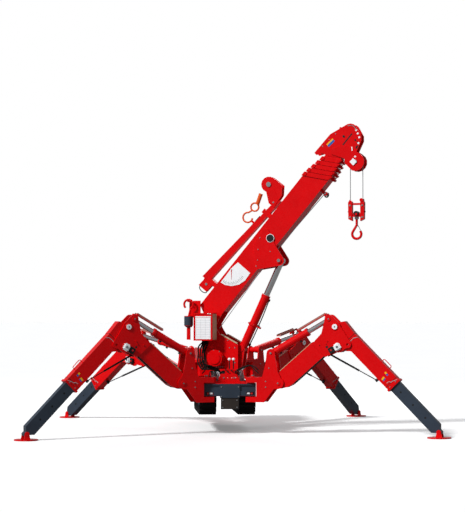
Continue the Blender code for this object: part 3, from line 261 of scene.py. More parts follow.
def flowing(points, steps):
    """Points on a smooth line through the given ones."""
    if steps < 2 or len(points) < 3:
        return points
    out = []
    padded = [points[0] * 2 - points[1]] + points + [points[-1] * 2 - points[-2]]
    for a, b, c, d in zip(padded, padded[1:], padded[2:], padded[3:]):
        for i in range(steps):
            t = i / steps
            out.append(0.5 * ((2 * b) + (c - a) * t + (2 * a - 5 * b + 4 * c - d) * t ** 2
                              + (3 * b - a - 3 * c + d) * t ** 3))
    out.append(points[-1])
    return out


class Piece:
    """Gathers small solids of one finish, drawn in one frame, that ride on one body."""

    def __init__(self, name, look, body=None, place=None):
        self.name = name
        self.look = look
        self.body = body
        self.place = Matrix.Identity(4) if place is None else place
        self.bm = bmesh.new()

    def _put(self, verts, matrix):
        bmesh.ops.transform(self.bm, matrix=self.place @ matrix, verts=verts)

    def block(self, x0, x1, y0, y1, z0, z1, turn=0.0, soft=0.0):
        """A box, turned about its middle, with its edges rounded by soft."""
        made = bmesh.ops.create_cube(self.bm, size=1.0)["verts"]
        size = Matrix.Diagonal((x1 - x0, y1 - y0, z1 - z0, 1.0))
        middle = Matrix.Translation(((x0 + x1) / 2, (y0 + y1) / 2, (z0 + z1) / 2))
        self._put(made, middle @ Matrix.Rotation(-radians(turn), 4, "Y") @ size)
        if soft:
            edges = list({e for v in made for e in v.link_edges})
            bmesh.ops.bevel(self.bm, geom=edges, offset=soft, segments=2, affect="EDGES")

    def rod(self, axis, centre, start, end, radius, sides=20, radius_end=None):
        """A bar or cone along an axis; centre is its place in the other two."""
        made = bmesh.ops.create_cone(self.bm, cap_ends=True, segments=sides, radius1=radius,
                                     radius2=radius if radius_end is None else radius_end,
                                     depth=abs(end - start))["verts"]
        where = list(centre)
        where.insert("xyz".index(axis), (start + end) / 2)
        self._put(made, Matrix.Translation(where) @ AXIS_TURN[axis])

    def heads(self, spots, start, end, radius, sides=HEX):
        """Bolt heads along y, one at each spot in x and z."""
        for spot in spots:
            self.rod("y", spot, start, end, radius, sides)

    def both_sides(self, spot, near, far, radius, sides=HEX):
        """A bolt or pin head on each flank, from near to far off the middle."""
        for side in (-1, 1):
            self.rod("y", spot, side * near, side * far, radius, sides)

    def ball(self, centre, radius):
        made = bmesh.ops.create_icosphere(self.bm, subdivisions=2, radius=radius)["verts"]
        self._put(made, Matrix.Translation(centre))

    def ring(self, centre, y, radius, bar, steps):
        """A round bar bent to a full circle about y."""
        points = []
        for i in range(steps + 1):
            x, z = on_circle(centre, radius, 360.0 * i / steps)
            points.append((x, y, z))
        self.tube(points, bar, smooth=1)

    def plate(self, points, y0, y1):
        """A simple outline in x and z, between two y places."""
        ends = []
        for y in (y0, y1):
            ends.append([self.bm.verts.new(self.place @ Vector((x, y, z))) for x, z in points])
        self.bm.faces.new(ends[0])
        self.bm.faces.new(ends[1][::-1])
        count = len(points)
        for i in range(count):
            j = (i + 1) % count
            self.bm.faces.new((ends[0][i], ends[1][i], ends[1][j], ends[0][j]))

    def tube(self, points, radius, sides=8, smooth=6):
        """A round bar or hose along a path, with smooth steps from each point to the next."""
        path = flowing([Vector(p) for p in points], smooth)
        normal = None
        rings = []
        for i, p in enumerate(path):
            ahead = path[min(i + 1, len(path) - 1)] - path[max(i - 1, 0)]
            ahead.normalize()
            if normal is None:
                normal = ahead.orthogonal().normalized()
            normal = (normal - ahead * normal.dot(ahead)).normalized()
            other = ahead.cross(normal)
            spots = []
            for k in range(sides):
                a = 2 * pi * k / sides
                spot = p + radius * (cos(a) * normal + sin(a) * other)
                spots.append(self.bm.verts.new(self.place @ spot))
            rings.append(spots)
        for low, high in zip(rings, rings[1:]):
            for k in range(sides):
                m = (k + 1) % sides
                self.bm.faces.new((low[k], low[m], high[m], high[k]))
        self.bm.faces.new(rings[0][::-1])
        self.bm.faces.new(rings[-1])

    def done(self, bend=None):
        """Makes the object; bend names the two bodies it stretches between, with its ends, but
        only whether it is given is used: such an object stays in the world's frame and follows
        neither body.
        """
        bmesh.ops.recalc_face_normals(self.bm, faces=self.bm.faces)
        mesh = bpy.data.meshes.new(self.name)
        self.bm.to_mesh(mesh)
        self.bm.free()
        mesh.shade_smooth()
        mesh.set_sharp_from_angle(angle=radians(SHARP_ANGLE))
        mesh.materials.append(LOOK[self.look])
        made = bpy.data.objects.new(self.name, mesh)
        bpy.context.scene.collection.objects.link(made)
        if bend:
            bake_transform(made)
        else:
            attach(made, self.body)


# Legs: half width over the knee's cheeks, hub of the knee, and the circle of its lock bores;
# face is the sign of y on the flank with the lock, 1 on the left legs and -1 on the right ones
CHEEK = 0.072
KNEE_HUB = (0.8508, 0.0)
LOCK_CIRCLE = 0.2264
LOCK_TURN = {"front": -124.0, "rear": -97.9}
LOCK_TILT = -14.0
FREE_BORE_TURN = -156.0
# Where the guard over the ram starts, and its turn up from the arm
GUARD_START = Vector((0.860, 0.0, 0.1665))
GUARD_TURN = 165.95
# Ends of the gas strut in the arm's and in the shin's frame
STRUT_ON_ARM = Vector((0.604, 0.0, -0.168))
STRUT_ON_SHIN = Vector((0.692, 0.0, -0.082))
# Films on the front shins: x from and to, z from and to, turn
SHIN_MARKS = {
    "yellow": ((0.700, 0.722, 0.038, 0.058, 0.0), (0.722, 0.740, -0.030, 0.006, 8.0)),
    "blue": ((0.724, 0.744, 0.036, 0.056, 0.0), (0.742, 0.754, -0.028, 0.008, 8.0)),
}
SHIN_WIRE_NEAR = ((0.244, 0.096), (0.222, 0.055), (0.222, 0.000), (0.243, -0.052))
SHIN_WIRE_FAR = ((0.793, -0.017), (0.800, 0.014), (0.815, 0.020), (0.825, 0.052), (0.843, 0.088))
# Where the inner leg ends, with its holes measured back from there
INNER_LEG_END = {"front": 1.5188, "rear": 1.4908}
FOOT_HOLES = (0.20, 0.38, 0.56)
BRACKET_TOP = {"front": 0.611, "rear": 0.761}
BRACKET_BOLTS = {"front": ((0.165, 0.50), (0.165, 0.56), (0.20, 0.70)), "rear": ((0.20, 0.70),)}


def knee_fittings(leg, arm, end, face):
    """Hub pins and rings, the lock with its knob, and plugs in the free lock bore."""
    body = leg + "_arm"
    pins = Piece(leg + "_arm_pins", "steel", body, arm)
    ring = Piece(leg + "_knee_rings", "white", body, arm)
    lock = Piece(leg + "_lock_blocks", "white", body, arm)
    knob = Piece(leg + "_lock_knobs", "black", body, arm)
    dot = Piece(leg + "_lock_dot", "lamp_red", body, arm)
    pins.both_sides(KNEE_HUB, CHEEK + 0.007, CHEEK + 0.014, 0.009)
    pins.both_sides((0.860, 0.1045), CHEEK + 0.006, CHEEK + 0.012, 0.008)
    ring.both_sides(KNEE_HUB, CHEEK + 0.007, CHEEK + 0.0115, 0.028, 28)
    lock_x, lock_z = on_circle(KNEE_HUB, LOCK_CIRCLE, LOCK_TURN[end])
    out = face * (CHEEK + 0.001)
    low, high = sorted((out, out + face * 0.028))
    x, z = lock_x + 0.003, lock_z + 0.018
    lock.block(x - 0.036, x + 0.036, low, high, z - 0.038, z + 0.038,
               turn=LOCK_TILT, soft=0.012)
    pins.rod("y", (x, z), out + face * 0.026, out + face * 0.032, 0.013, 14)
    x, z = lock_x - 0.066, lock_z + 0.038
    knob.block(x - 0.028, x + 0.030, low, high - face * 0.004, z - 0.034, z + 0.030,
               turn=LOCK_TILT, soft=0.004)
    dot.rod("y", (x, z), out + face * 0.022, out + face * 0.029, 0.010, 14)
    free_bore = on_circle(KNEE_HUB, LOCK_CIRCLE, FREE_BORE_TURN)
    knob.both_sides(free_bore, CHEEK - 0.011, CHEEK - 0.001, 0.0128, 16)
    for piece in (dot, pins, ring, lock, knob):
        piece.done()


def guard_film(leg, arm):
    """Lining of the guard over the ram: a floor and two upright edges."""
    a = radians(GUARD_TURN)
    along = Vector((cos(a), 0.0, sin(a)))
    up = Vector((cos(a - pi / 2), 0.0, sin(a - pi / 2)))

    def outline(spots):
        corners = [GUARD_START + up * rise + along * reach for reach, rise in spots]
        return [(c.x, c.z) for c in corners]

    film = Piece(leg + "_ram_guard_film", "guard", leg + "_arm", arm)
    flat = outline(((-0.006, 0.0044), (0.338, 0.0044), (0.338, 0.0054), (-0.006, 0.0054)))
    film.plate(flat, -0.028, 0.028)
    tall = outline(((-0.006, 0.0044), (0.338, 0.0044), (0.330, 0.0204), (-0.002, 0.0204)))
    for y in (-0.0295, 0.0275):
        film.plate(tall, y, y + 0.002)
    film.done()


def arm_lines(leg, arm, face):
    """Pipes with their clips, the edge line and the bolts along the upper arm."""
    lines = Piece(leg + "_arm_lines", "black", leg + "_arm", arm)
    for y in (0.010, 0.034):
        lines.tube([(0.10, y, 0.086), (0.25, y, 0.078), (0.40, y, 0.070), (0.545, y, 0.062)],
                   0.0055, smooth=3)
    side = face * 0.046
    lines.tube([(0.130, side, -0.112), (0.150, side, -0.124), (0.350, side, -0.134),
                (0.560, side, -0.144), (0.580, side, -0.136)], 0.0075, smooth=3)
    lines.block(0.30, 0.315, 0.010, 0.044, 0.064, 0.084)
    lines.block(0.50, 0.515, 0.010, 0.044, 0.054, 0.074)
    lines.done()
    edge = Piece(leg + "_arm_edge_line", "sand", leg + "_arm", arm)
    side = face * 0.054
    edge.tube([(0.10, side, 0.080), (0.30, side, 0.070), (0.54, side, 0.057)], 0.0035, smooth=3)
    edge.done()
    bolts = Piece(leg + "_arm_bolts", "red", leg + "_arm", arm)
    bolts.heads(((0.66, -0.060), (0.69, -0.052), (0.60, -0.02)), face * 0.070, face * 0.079, 0.008)
    bolts.done()


def gas_strut(leg, arm, shin):
    """Strut under the knee; it stretches between the arm and the shin."""
    start = arm @ STRUT_ON_ARM
    end = shin @ STRUT_ON_SHIN
    whole = end - start
    bend = (leg + "_arm", leg + "_shin", start, end)
    barrel = Piece(leg + "_strut_tube", "black")
    barrel.tube([start, start + whole * 0.62], 0.010, sides=12, smooth=1)
    barrel.done(bend)
    rod = Piece(leg + "_strut_rod", "black")
    rod.tube([start + whole * 0.60, end], 0.005, sides=10, smooth=1)
    rod.done(bend)


def shin_fittings(leg, shin, end, face):
    """Strut lug, bands, handle, marks, wires and bolts of the lower arm, and its leg's holes."""
    body = leg + "_shin"
    lug = Piece(leg + "_shin_lug", "black", body, shin)
    for y in (-0.010, 0.004):
        lug.block(0.678, 0.706, y, y + 0.006, -0.096, -0.057)
    for x in (0.190, 0.815):
        lug.block(x, x + 0.004, -0.0555, 0.0555, 0.0965, 0.0985)
        for y in (-0.0555, 0.0545):
            lug.block(x, x + 0.004, y, y + 0.0015, -0.0585, 0.0985)
    lug.done()
    handle = Piece(leg + "_shin_handle", "red", body, shin)
    handle.tube([(0.592, 0.0, 0.096), (0.592, 0.0, 0.122), (0.602, 0.0, 0.130),
                 (0.690, 0.0, 0.130), (0.700, 0.0, 0.122), (0.700, 0.0, 0.096)], 0.0045, smooth=1)
    handle.done()
    if end == "front":
        low, high = span(face, 0.0542, 0.0550)
        for look, films in SHIN_MARKS.items():
            marks = Piece("%s_marks_%s" % (leg, look), look, body, shin)
            for x0, x1, z0, z1, turn in films:
                marks.block(x0, x1, low, high, z0, z1, turn=turn)
            marks.done()
    wire = Piece(leg + "_shin_wires", "grey", body, shin)
    side = face * 0.0550
    for run in (SHIN_WIRE_NEAR, SHIN_WIRE_FAR) if end == "front" else (SHIN_WIRE_FAR,):
        wire.tube([(x, side, z) for x, z in run], 0.0028, smooth=5)
    wire.done()
    plugs = Piece(leg + "_foot_holes", "black", leg + "_foot", shin)
    plugs.heads([(INNER_LEG_END[end] - x, 0.020) for x in FOOT_HOLES], -0.0414, 0.0414, 0.0107, 14)
    plugs.done()
    bolts = Piece(leg + "_shin_bolts", "steel", body, shin)
    bolts.heads(((0.845, 0.060), (0.845, -0.020)), face * 0.050, face * 0.066, 0.006)
    bolts.done()


def leg_fittings(leg):
    """All small pieces of one leg."""
    bracket, arm, shin, ram = leg_frames(leg)
    end = leg.split("_")[0]
    face = 1.0 if leg.endswith("left") else -1.0
    knee_fittings(leg, arm, end, face)
    guard_film(leg, arm)
    arm_lines(leg, arm, face)
    gas_strut(leg, arm, shin)
    shin_fittings(leg, shin, end, face)
    ports = Piece(leg + "_ram_ports", "black", leg + "_ram", ram)
    ports.rod("z", (0.330, 0.0), -0.056, -0.036, 0.013, 12)
    ports.rod("z", (0.080, 0.0), -0.054, -0.036, 0.012, 12)
    ports.done()
    pins = Piece(leg + "_bracket_pins", "steel", leg + "_bracket", bracket)
    pins.both_sides((0.298, 0.543), 0.083, 0.088, 0.008)
    pins.both_sides((0.220, 0.856), 0.083, 0.088, 0.011)
    for spot in BRACKET_BOLTS[end]:
        pins.both_sides(spot, 0.077, 0.083, 0.007)
    pins.rod("z", (0.0, 0.0), BRACKET_TOP[end], BRACKET_TOP[end] + 0.011, 0.018)
    pins.done()


# Boom: flank with the round cap, and the angle dial with its face
BOOM_CAP = (1.130, 0.071)
BOOM_CAP_SIDE = -0.1072
DIAL = (0.590, 0.206)
DIAL_FACE = -0.0953 - 0.003
DIAL_TICKS = 17
DIAL_FIRST_TURN = 188.0
DIAL_STEP_TURN = 5.6
TICK_HALF = 0.0014
NEEDLE_ROOT = Vector((0.590, 0.0, 0.196))
NEEDLE_LENGTH = 0.120
NEEDLE_HALF = 0.004
JIB_TIP = (1.556, 0.475)
# The hoist rope's run, from the column to the roller at the end of the base section
ROPE_RUN = ((0.013, -0.080, -0.105), (0.150, -0.080, -0.098), (0.450, -0.080, -0.083),
            (1.000, -0.062, -0.056), (1.852, -0.020, -0.073))
# Boom head: the sheave's arc of bolts, and the cheek's face on the photo's side
HEAD_CENTRE = (2.560, 0.125)
HEAD_BOLTS = 8
HEAD_BOLT_CIRCLE = 0.064
HEAD_FIRST_TURN = -38.0
HEAD_STEP_TURN = 14.0
HEAD_SIDE = -0.062
# Films on the boom head: x from and to, z from and to
HEAD_MARKS = {"blue": (2.286, 2.378, 0.196, 0.220), "yellow": (2.288, 2.380, 0.221, 0.236)}


def cap_and_dial():
    """Round cap with its rim, and the ticks and plumb needle of the angle dial."""
    cap = Piece("boom_cap", "black", "boom", BOOM)
    cap.rod("y", BOOM_CAP, BOOM_CAP_SIDE, BOOM_CAP_SIDE - 0.006, 0.040, 32)
    cap.done()
    rim = Piece("boom_cap_rim", "white", "boom", BOOM)
    rim.ring(BOOM_CAP, BOOM_CAP_SIDE - 0.002, 0.042, 0.0035, 32)
    rim.done()
    ticks = Piece("dial_ticks", "black", "boom", BOOM)
    for i in range(DIAL_TICKS):
        turn = DIAL_FIRST_TURN + i * DIAL_STEP_TURN
        x0, z0 = on_circle(DIAL, 0.150 if i % 2 else 0.140, turn)
        x1, z1 = on_circle(DIAL, 0.172, turn)
        dx = -sin(radians(turn)) * TICK_HALF
        dz = cos(radians(turn)) * TICK_HALF
        ticks.plate([(x0 - dx, z0 - dz), (x1 - dx, z1 - dz), (x1 + dx, z1 + dz),
                     (x0 + dx, z0 + dz)], DIAL_FACE - 0.0008, DIAL_FACE + 0.0002)
    ticks.done()
    needle = Piece("dial_needle", "red", "boom", BOOM)
    down = (BOOM.to_3x3().inverted() @ Vector((0.0, 0.0, -1.0))).normalized()
    wide = Vector((down.z, 0.0, -down.x)) * NEEDLE_HALF
    corners = (NEEDLE_ROOT + wide, NEEDLE_ROOT + down * NEEDLE_LENGTH, NEEDLE_ROOT - wide)
    needle.plate([(c.x, c.z) for c in corners], DIAL_FACE - 0.004, DIAL_FACE - 0.0022)
    needle.done()


def boom_and_jib():
    """Pins and bolts of the base section, and the stowed jib's pins, sheaves and lashing."""
    pins = Piece("boom_pins", "steel", "boom", BOOM)
    pins.both_sides((1.0077, -0.158), 0.118, 0.125, 0.018, 20)
    pins.both_sides((1.875, -0.080), 0.044, 0.050, 0.010)
    pins.heads(((0.80, 0.00), (0.95, 0.10), (1.06, 0.165), (1.02, -0.02), (0.86, 0.03)),
               -0.106, -0.112, 0.006)
    pins.done()
    pins = Piece("jib_pins", "steel", "boom", BOOM)
    pins.both_sides(JIB_TIP, 0.049, 0.058, 0.026, 20)
    pins.both_sides((0.270, 0.335), 0.027, 0.034, 0.014, 12)
    pins.both_sides((1.44, 0.310), 0.045, 0.050, 0.010)
    pins.done()
    wheel = Piece("jib_sheave", "black", "boom", BOOM)
    wheel.rod("y", JIB_TIP, -0.032, 0.032, 0.066, 32)
    wheel.rod("y", (1.605, 0.400), -0.030, 0.030, 0.024)
    wheel.done()
    cord = Piece("jib_lashing", "black", "boom", BOOM)
    cord.tube([(0.225, 0.0, 0.300), (0.190, 0.0, 0.285), (0.170, 0.0, 0.330), (0.185, 0.0, 0.380),
               (0.225, 0.0, 0.380)], 0.005)
    cord.tube([(0.345, 0.030, 0.425), (0.60, 0.030, 0.404), (1.00, 0.030, 0.366),
               (1.22, 0.018, 0.350)], 0.004, smooth=3)
    cord.done()


def hoist_rope():
    """Rubber on the rope's roller, and the rope under the base section."""
    roller = Piece("rope_roller_tyre", "rubber", "boom", BOOM)
    roller.ring((1.866, -0.094), 0.0, 0.020, 0.008, 24)
    roller.done()
    rope = Piece("rope_under_boom", "grey")
    run = [BOOM @ Vector(p) for p in ROPE_RUN]
    rope.tube(run, 0.0042, smooth=3)
    rope.done(("superstructure", "boom", run[0], run[1]))


def head_fittings():
    """Bolts, dark parts and marks of the boom head."""
    body = "boom_section_5"
    bolts = Piece("head_bolts", "steel", body, BOOM)
    for i in range(HEAD_BOLTS):
        spot = on_circle(HEAD_CENTRE, HEAD_BOLT_CIRCLE, HEAD_FIRST_TURN + i * HEAD_STEP_TURN)
        bolts.both_sides(spot, 0.062, 0.067, 0.006)
    bolts.heads(((2.44, 0.235), (2.35, 0.250), (2.25, 0.262)), HEAD_SIDE, -0.067, 0.006)
    bolts.both_sides((2.345, -0.125), 0.077, 0.082, 0.024)
    bolts.done()
    dark = Piece("head_dark_parts", "black", body, BOOM)
    for outline in ([(2.394, 0.090), (2.552, 0.088), (2.556, 0.100), (2.398, 0.102)],
                    [(2.462, -0.052), (2.500, -0.040), (2.486, -0.026), (2.455, -0.036)]):
        dark.plate(outline, -0.0645, -0.0625)
    for x, z, radius in ((2.523, 0.022, 0.010), (2.474, 0.146, 0.013), (2.52, -0.010, 0.008)):
        dark.rod("y", (x, z), HEAD_SIDE, -0.0665, radius, 14)
    dark.rod("y", (2.333, -0.112), HEAD_SIDE, -0.0755, 0.007, 14)
    dark.done()
    label = Piece("head_square", "white", body, BOOM)
    label.block(2.304, 2.360, -0.0832, -0.0822, -0.141, -0.085, turn=-4.0)
    label.block(2.378, 2.396, -0.0742, -0.0732, -0.101, -0.084)
    label.heads(((2.610, 0.082), (2.594, 0.045), (2.572, 0.006), (2.519, -0.027)),
                HEAD_SIDE, -0.0665, 0.011, 12)
    label.plate([(2.412, -0.024), (2.440, 0.006), (2.448, 0.000), (2.420, -0.030)],
                -0.0745, -0.0732)
    label.done()
    for look, (x0, x1, z0, z1) in HEAD_MARKS.items():
        mark = Piece("head_mark_" + look, look, body, BOOM)
        mark.block(x0, x1, -0.0642, -0.0632, z0, z1, turn=-7.0)
        mark.done()


# Column: the winch's middle, the load chart box's reach in x and z and its front face, the
# axis of the ball hook, and how many hoses and unions there are
WINCH = (-0.067, 0.786)
WINCH_BOLTS = 8
CHART_X = (-0.277, -0.064)
CHART_Z = (0.977, 1.275)
CHART_FACE = -0.1133 - 0.160
CHART_ROWS = 9
CHART_COLUMNS = 3
CHART_LINE_HALF = 0.0008
BALL_HOOK = (-0.362, -0.1933)
HOSE_ARCS = 4
REAR_HOSES = 3
COLUMN_UNIONS = 5


def column_trim():
    """Edge strips, winch bolts, pin heads and flank bolts of the column."""
    strip = Piece("column_edge_strips", "sand", "superstructure", COLUMN)
    for side in (-1, 1):
        low, high = span(side, 0.092, 0.122)
        strip.block(-0.028, 0.178, low, high, 0.990, 1.000, turn=-27.9)
    strip.done()
    bolts = Piece("winch_bolts", "steel", "superstructure", COLUMN)
    ring = [on_circle(WINCH, 0.088, i * 360.0 / WINCH_BOLTS + 10.0) for i in range(WINCH_BOLTS)]
    bolts.heads(ring, -0.170, -0.177, 0.0055)
    bolts.both_sides((-0.133, 1.169), 0.120, 0.127, 0.020)
    bolts.heads(((0.08, 0.90), (0.14, 0.90), (0.14, 0.74), (0.06, 0.98), (-0.17, 0.92),
                 (-0.17, 1.02)), -0.112, -0.118, 0.007)
    bolts.done()


def load_chart():
    """Plate, header strip, catches, plain grid and side panel of the load chart box."""
    x0, x1 = CHART_X[0] + 0.0215, CHART_X[1] - 0.0195
    z0, z1 = CHART_Z[0] + 0.0165, CHART_Z[1] - 0.052
    back, front = CHART_FACE + 0.0046, CHART_FACE + 0.0012
    chart = Piece("chart_panel", "white", "superstructure", COLUMN)
    chart.block(x0, x1, front, back, z0, z1)
    chart.block(x0 - 0.003, x1 + 0.003, front, back, z1 + 0.004, z1 + 0.017)
    for x in (-0.090, -0.116):
        chart.block(x, x + 0.012, CHART_FACE - 0.010, CHART_FACE, 1.262, 1.272, soft=0.002)
    chart.done()
    grid = Piece("chart_grid", "grey", "superstructure", COLUMN)
    low, high = CHART_FACE + 0.0006, CHART_FACE + 0.0014
    half = CHART_LINE_HALF
    for i in range(1, CHART_ROWS):
        z = z0 + (z1 - z0) * i / CHART_ROWS
        grid.block(x0 + 0.008, x1 - 0.008, low, high, z - half, z + half)
    for i in range(CHART_COLUMNS + 1):
        x = x0 + 0.008 + (x1 - x0 - 0.016) * i / CHART_COLUMNS
        grid.block(x - half, x + half, low, high, z0 + 0.010, z1 - 0.012)
    grid.done()
    panel = Piece("chart_side_panel", "sand", "superstructure", COLUMN)
    panel.block(-0.0638, -0.0615, CHART_FACE + 0.010, -0.132, 0.987, 1.265)
    panel.done()


def column_fittings():
    """Trim, load chart, the ball hook's weight, hoses and unions of the slewing part."""
    column_trim()
    load_chart()
    weight = Piece("ball_hook_weight", "slate", "superstructure", COLUMN)
    weight.rod("z", BALL_HOOK, 1.140, 1.238, 0.0485, 32)
    weight.rod("z", BALL_HOOK, 1.120, 1.140, 0.030, 24, radius_end=0.0480)
    weight.done()
    hoses = Piece("column_hoses", "rubber", "superstructure", COLUMN)
    for i in range(HOSE_ARCS):
        x = -0.185 - 0.024 * i
        y = -0.140 - 0.016 * i
        hoses.tube([(-0.03 - 0.03 * i, y - 0.02, 0.668), (x + 0.05, y - 0.012, 0.672),
                    (x, y, 0.74), (x - 0.020 + 0.008 * i, y + 0.004, 0.83),
                    (x + 0.01, y + 0.010, 0.92), (-0.165, -0.118, 0.965 + 0.010 * i)], 0.0085)
    for i in range(REAR_HOSES):
        y = -0.06 + 0.05 * i
        hoses.tube([(-0.16, y, 1.075), (-0.235, y, 1.04), (-0.245, y, 0.90),
                    (-0.205, y + 0.01, 0.76), (-0.150, y + 0.01, 0.70)], 0.009, sides=10, smooth=7)
    hoses.done()
    unions = Piece("column_unions", "steel", "superstructure", COLUMN)
    for i in range(COLUMN_UNIONS):
        y = -0.02 * i
        unions.rod("x", (-0.128 - 0.013 * i, 0.690), y - 0.025, y + 0.012, 0.010, HEX)
    unions.done()


# Chassis: faces towards the front (y), top of the deck (z), slew ring (x and y)
SKID_FACE = -1.165
LAMP_FACE = SKID_FACE + 0.014
CROSS_HEAD_FACE = -1.172
COVER_FACE = -1.009
DECK = 0.5525
SLEW_RING = (0.0, -0.5)
SLEW_BOLTS = 12
# The valves stand in a row along x, and the deck hoses start from the first three
VALVES = 6
VALVE_FIRST = -0.155
VALVE_STEP = 0.062
DECK_HOSES = 3
DECK_PIPES = 3
PIPE_RADIUS = 0.0058
# Hood: its side (x) and rear (y), the seam (z), and the rows of vent slots
HOOD_SIDE = 0.255
HOOD_REAR = 1.540
HOOD_SEAM = (0.6235, 0.6265)
SIDE_VENTS = 7
REAR_VENTS = 5
VENT_STEP = 0.018
VENT_HALF = 0.0045
# Films lie from just under a face of the hood to just over it
FILM_UNDER = 0.001
FILM_OVER = 0.0012


def bumper_fittings():
    """Lamps in their slots, and the dark coat of the skid plate."""
    red = Piece("bumper_lamps_red", "lamp_red", "chassis")
    white = Piece("bumper_lamps_white", "white", "chassis")
    slots = Piece("bumper_slots", "black", "chassis")
    for side in (-1, 1):
        x0, x1 = span(side, 0.174, 0.254)
        slots.block(x0, x1, LAMP_FACE - 0.0035, LAMP_FACE - 0.0003, 0.4155, 0.4445)
        for lamps, near, far in ((red, 0.220, 0.242), (white, 0.180, 0.212)):
            x0, x1 = span(side, near, far)
            lamps.block(x0, x1, LAMP_FACE - 0.010, LAMP_FACE - 0.003, 0.420, 0.440, soft=0.003)
    for piece in (red, white, slots):
        piece.done()
    skid = Piece("skid_film", "guard_dark", "chassis")
    skid.block(-0.093, 0.093, SKID_FACE - 0.0002, SKID_FACE + 0.0008, 0.267, 0.382)
    skid.done()


def chassis_bolts():
    """Bolts of the skid plate, the front cross head, the valve cover and the slew ring."""
    bolts = Piece("chassis_bolts", "steel", "chassis")
    bolts.heads(((-0.075, 0.285), (0.075, 0.285), (-0.075, 0.36), (0.075, 0.36)),
                SKID_FACE, SKID_FACE - 0.006, 0.008)
    bolts.heads(((-0.09, 0.40), (0.09, 0.40), (-0.09, 0.50), (0.09, 0.50)),
                CROSS_HEAD_FACE, CROSS_HEAD_FACE - 0.007, 0.008)
    bolts.heads(((-0.055, 0.590), (0.055, 0.590)), COVER_FACE, COVER_FACE - 0.008, 0.009)
    for i in range(SLEW_BOLTS):
        spot = on_circle(SLEW_RING, 0.155, i * 360.0 / SLEW_BOLTS)
        bolts.rod("z", spot, 0.6000, 0.5950, 0.007, HEX)
    bolts.done()


def deck_fittings():
    """Control levers, valve bank, pipes, red fittings and hoses on the deck."""
    balls = Piece("lever_balls", "white", "chassis")
    sticks = Piece("lever_sticks", "black", "chassis")
    for x in (0.010, 0.054):
        balls.ball((x, -0.935, 0.783), 0.0175)
        sticks.rod("z", (x, -0.935), 0.6805, 0.770, 0.0066, 12)
    buttons = ((-0.015, 0.590), (0.030, 0.590), (0.072, 0.590))
    balls.heads(buttons, COVER_FACE - 0.0005, COVER_FACE - 0.004, 0.004, 8)
    unions = ((-0.030, 0.672), (-0.006, 0.650), (0.032, 0.664), (0.072, 0.650), (0.092, 0.672))
    sticks.heads(unions, -0.972, -0.953, 0.0085, 8)
    balls.done()
    sticks.done()
    valves = Piece("valve_bank", "steel", "chassis")
    for i in range(VALVES):
        x = VALVE_FIRST + VALVE_STEP * i
        valves.block(x - 0.022, x + 0.022, -0.865, -0.815, 0.553, 0.610, soft=0.003)
        valves.rod("z", (x, -0.840), 0.610, 0.632, 0.010, HEX)
    valves.done()
    pipes = Piece("deck_pipes", "grey", "chassis")
    for i in range(DECK_PIPES):
        x = 0.128 + 0.016 * i
        y = -0.895 + 0.012 * i
        pipes.tube([(x, y, DECK), (x, y, 0.640), (x - 0.006, -0.880, 0.668),
                    (x + 0.030, -0.865, 0.690 + 0.006 * i)], PIPE_RADIUS, smooth=5)
        x = -0.110 - 0.020 * i
        pipes.tube([(x, -0.955, DECK), (x - 0.004, -0.960, 0.585), (x + 0.014, -0.955, 0.606),
                    (x + 0.006, -0.945, 0.640), (x - 0.012, -0.930, 0.650)], PIPE_RADIUS, smooth=5)
    pipes.done()
    red = Piece("deck_red_fittings", "red", "chassis")
    red.rod("z", (0.098, -0.880), DECK, 0.640, 0.012, 16)
    red.rod("z", (0.098, -0.880), 0.636, 0.662, 0.020, 16, radius_end=0.012)
    for x in (-0.095, -0.150):
        red.rod("z", (x, -0.985), DECK, 0.600, 0.014, 14)
    red.done()
    hoses = Piece("deck_hoses", "rubber", "chassis")
    for i in range(DECK_HOSES):
        x = VALVE_FIRST + VALVE_STEP * i
        swing = -0.10 if x < 0 else 0.10
        hoses.tube([(x, -0.840, 0.630), (x + swing * 0.1, -0.850, 0.655),
                    (x + swing * 0.4, -0.875, 0.645), (x * 0.9 + swing * 0.6, -0.900, 0.590),
                    (x * 0.8 + swing * 0.5, -0.930, 0.562)], 0.0055, smooth=5)
    hoses.done()


def hood_fittings():
    """Vent slots and seam of the hood as thin films, and its latches."""
    vents = Piece("hood_vents", "black", "chassis")
    for side in (-1, 1):
        low, high = span(side, HOOD_SIDE - FILM_UNDER, HOOD_SIDE + FILM_OVER)
        for i in range(SIDE_VENTS):
            z = 0.665 + VENT_STEP * i
            vents.block(low, high, 1.06, 1.34, z - VENT_HALF, z + VENT_HALF)
        vents.block(low, high, 0.468, HOOD_REAR - 0.004, *HOOD_SEAM)
    low, high = HOOD_REAR - FILM_UNDER, HOOD_REAR + FILM_OVER
    for i in range(REAR_VENTS):
        z = 0.660 + VENT_STEP * i
        vents.block(-0.130, 0.130, low, high, z - VENT_HALF, z + VENT_HALF)
    vents.block(-HOOD_SIDE, HOOD_SIDE, low, high, *HOOD_SEAM)
    vents.done()
    latches = Piece("hood_latches", "steel", "chassis")
    for side in (-1, 1):
        low, high = span(side, HOOD_SIDE - FILM_UNDER, HOOD_SIDE + 0.009)
        for y in (0.62, 1.44):
            latches.block(low, high, y - 0.012, y + 0.012, 0.600, 0.650, soft=0.003)
    latches.done()


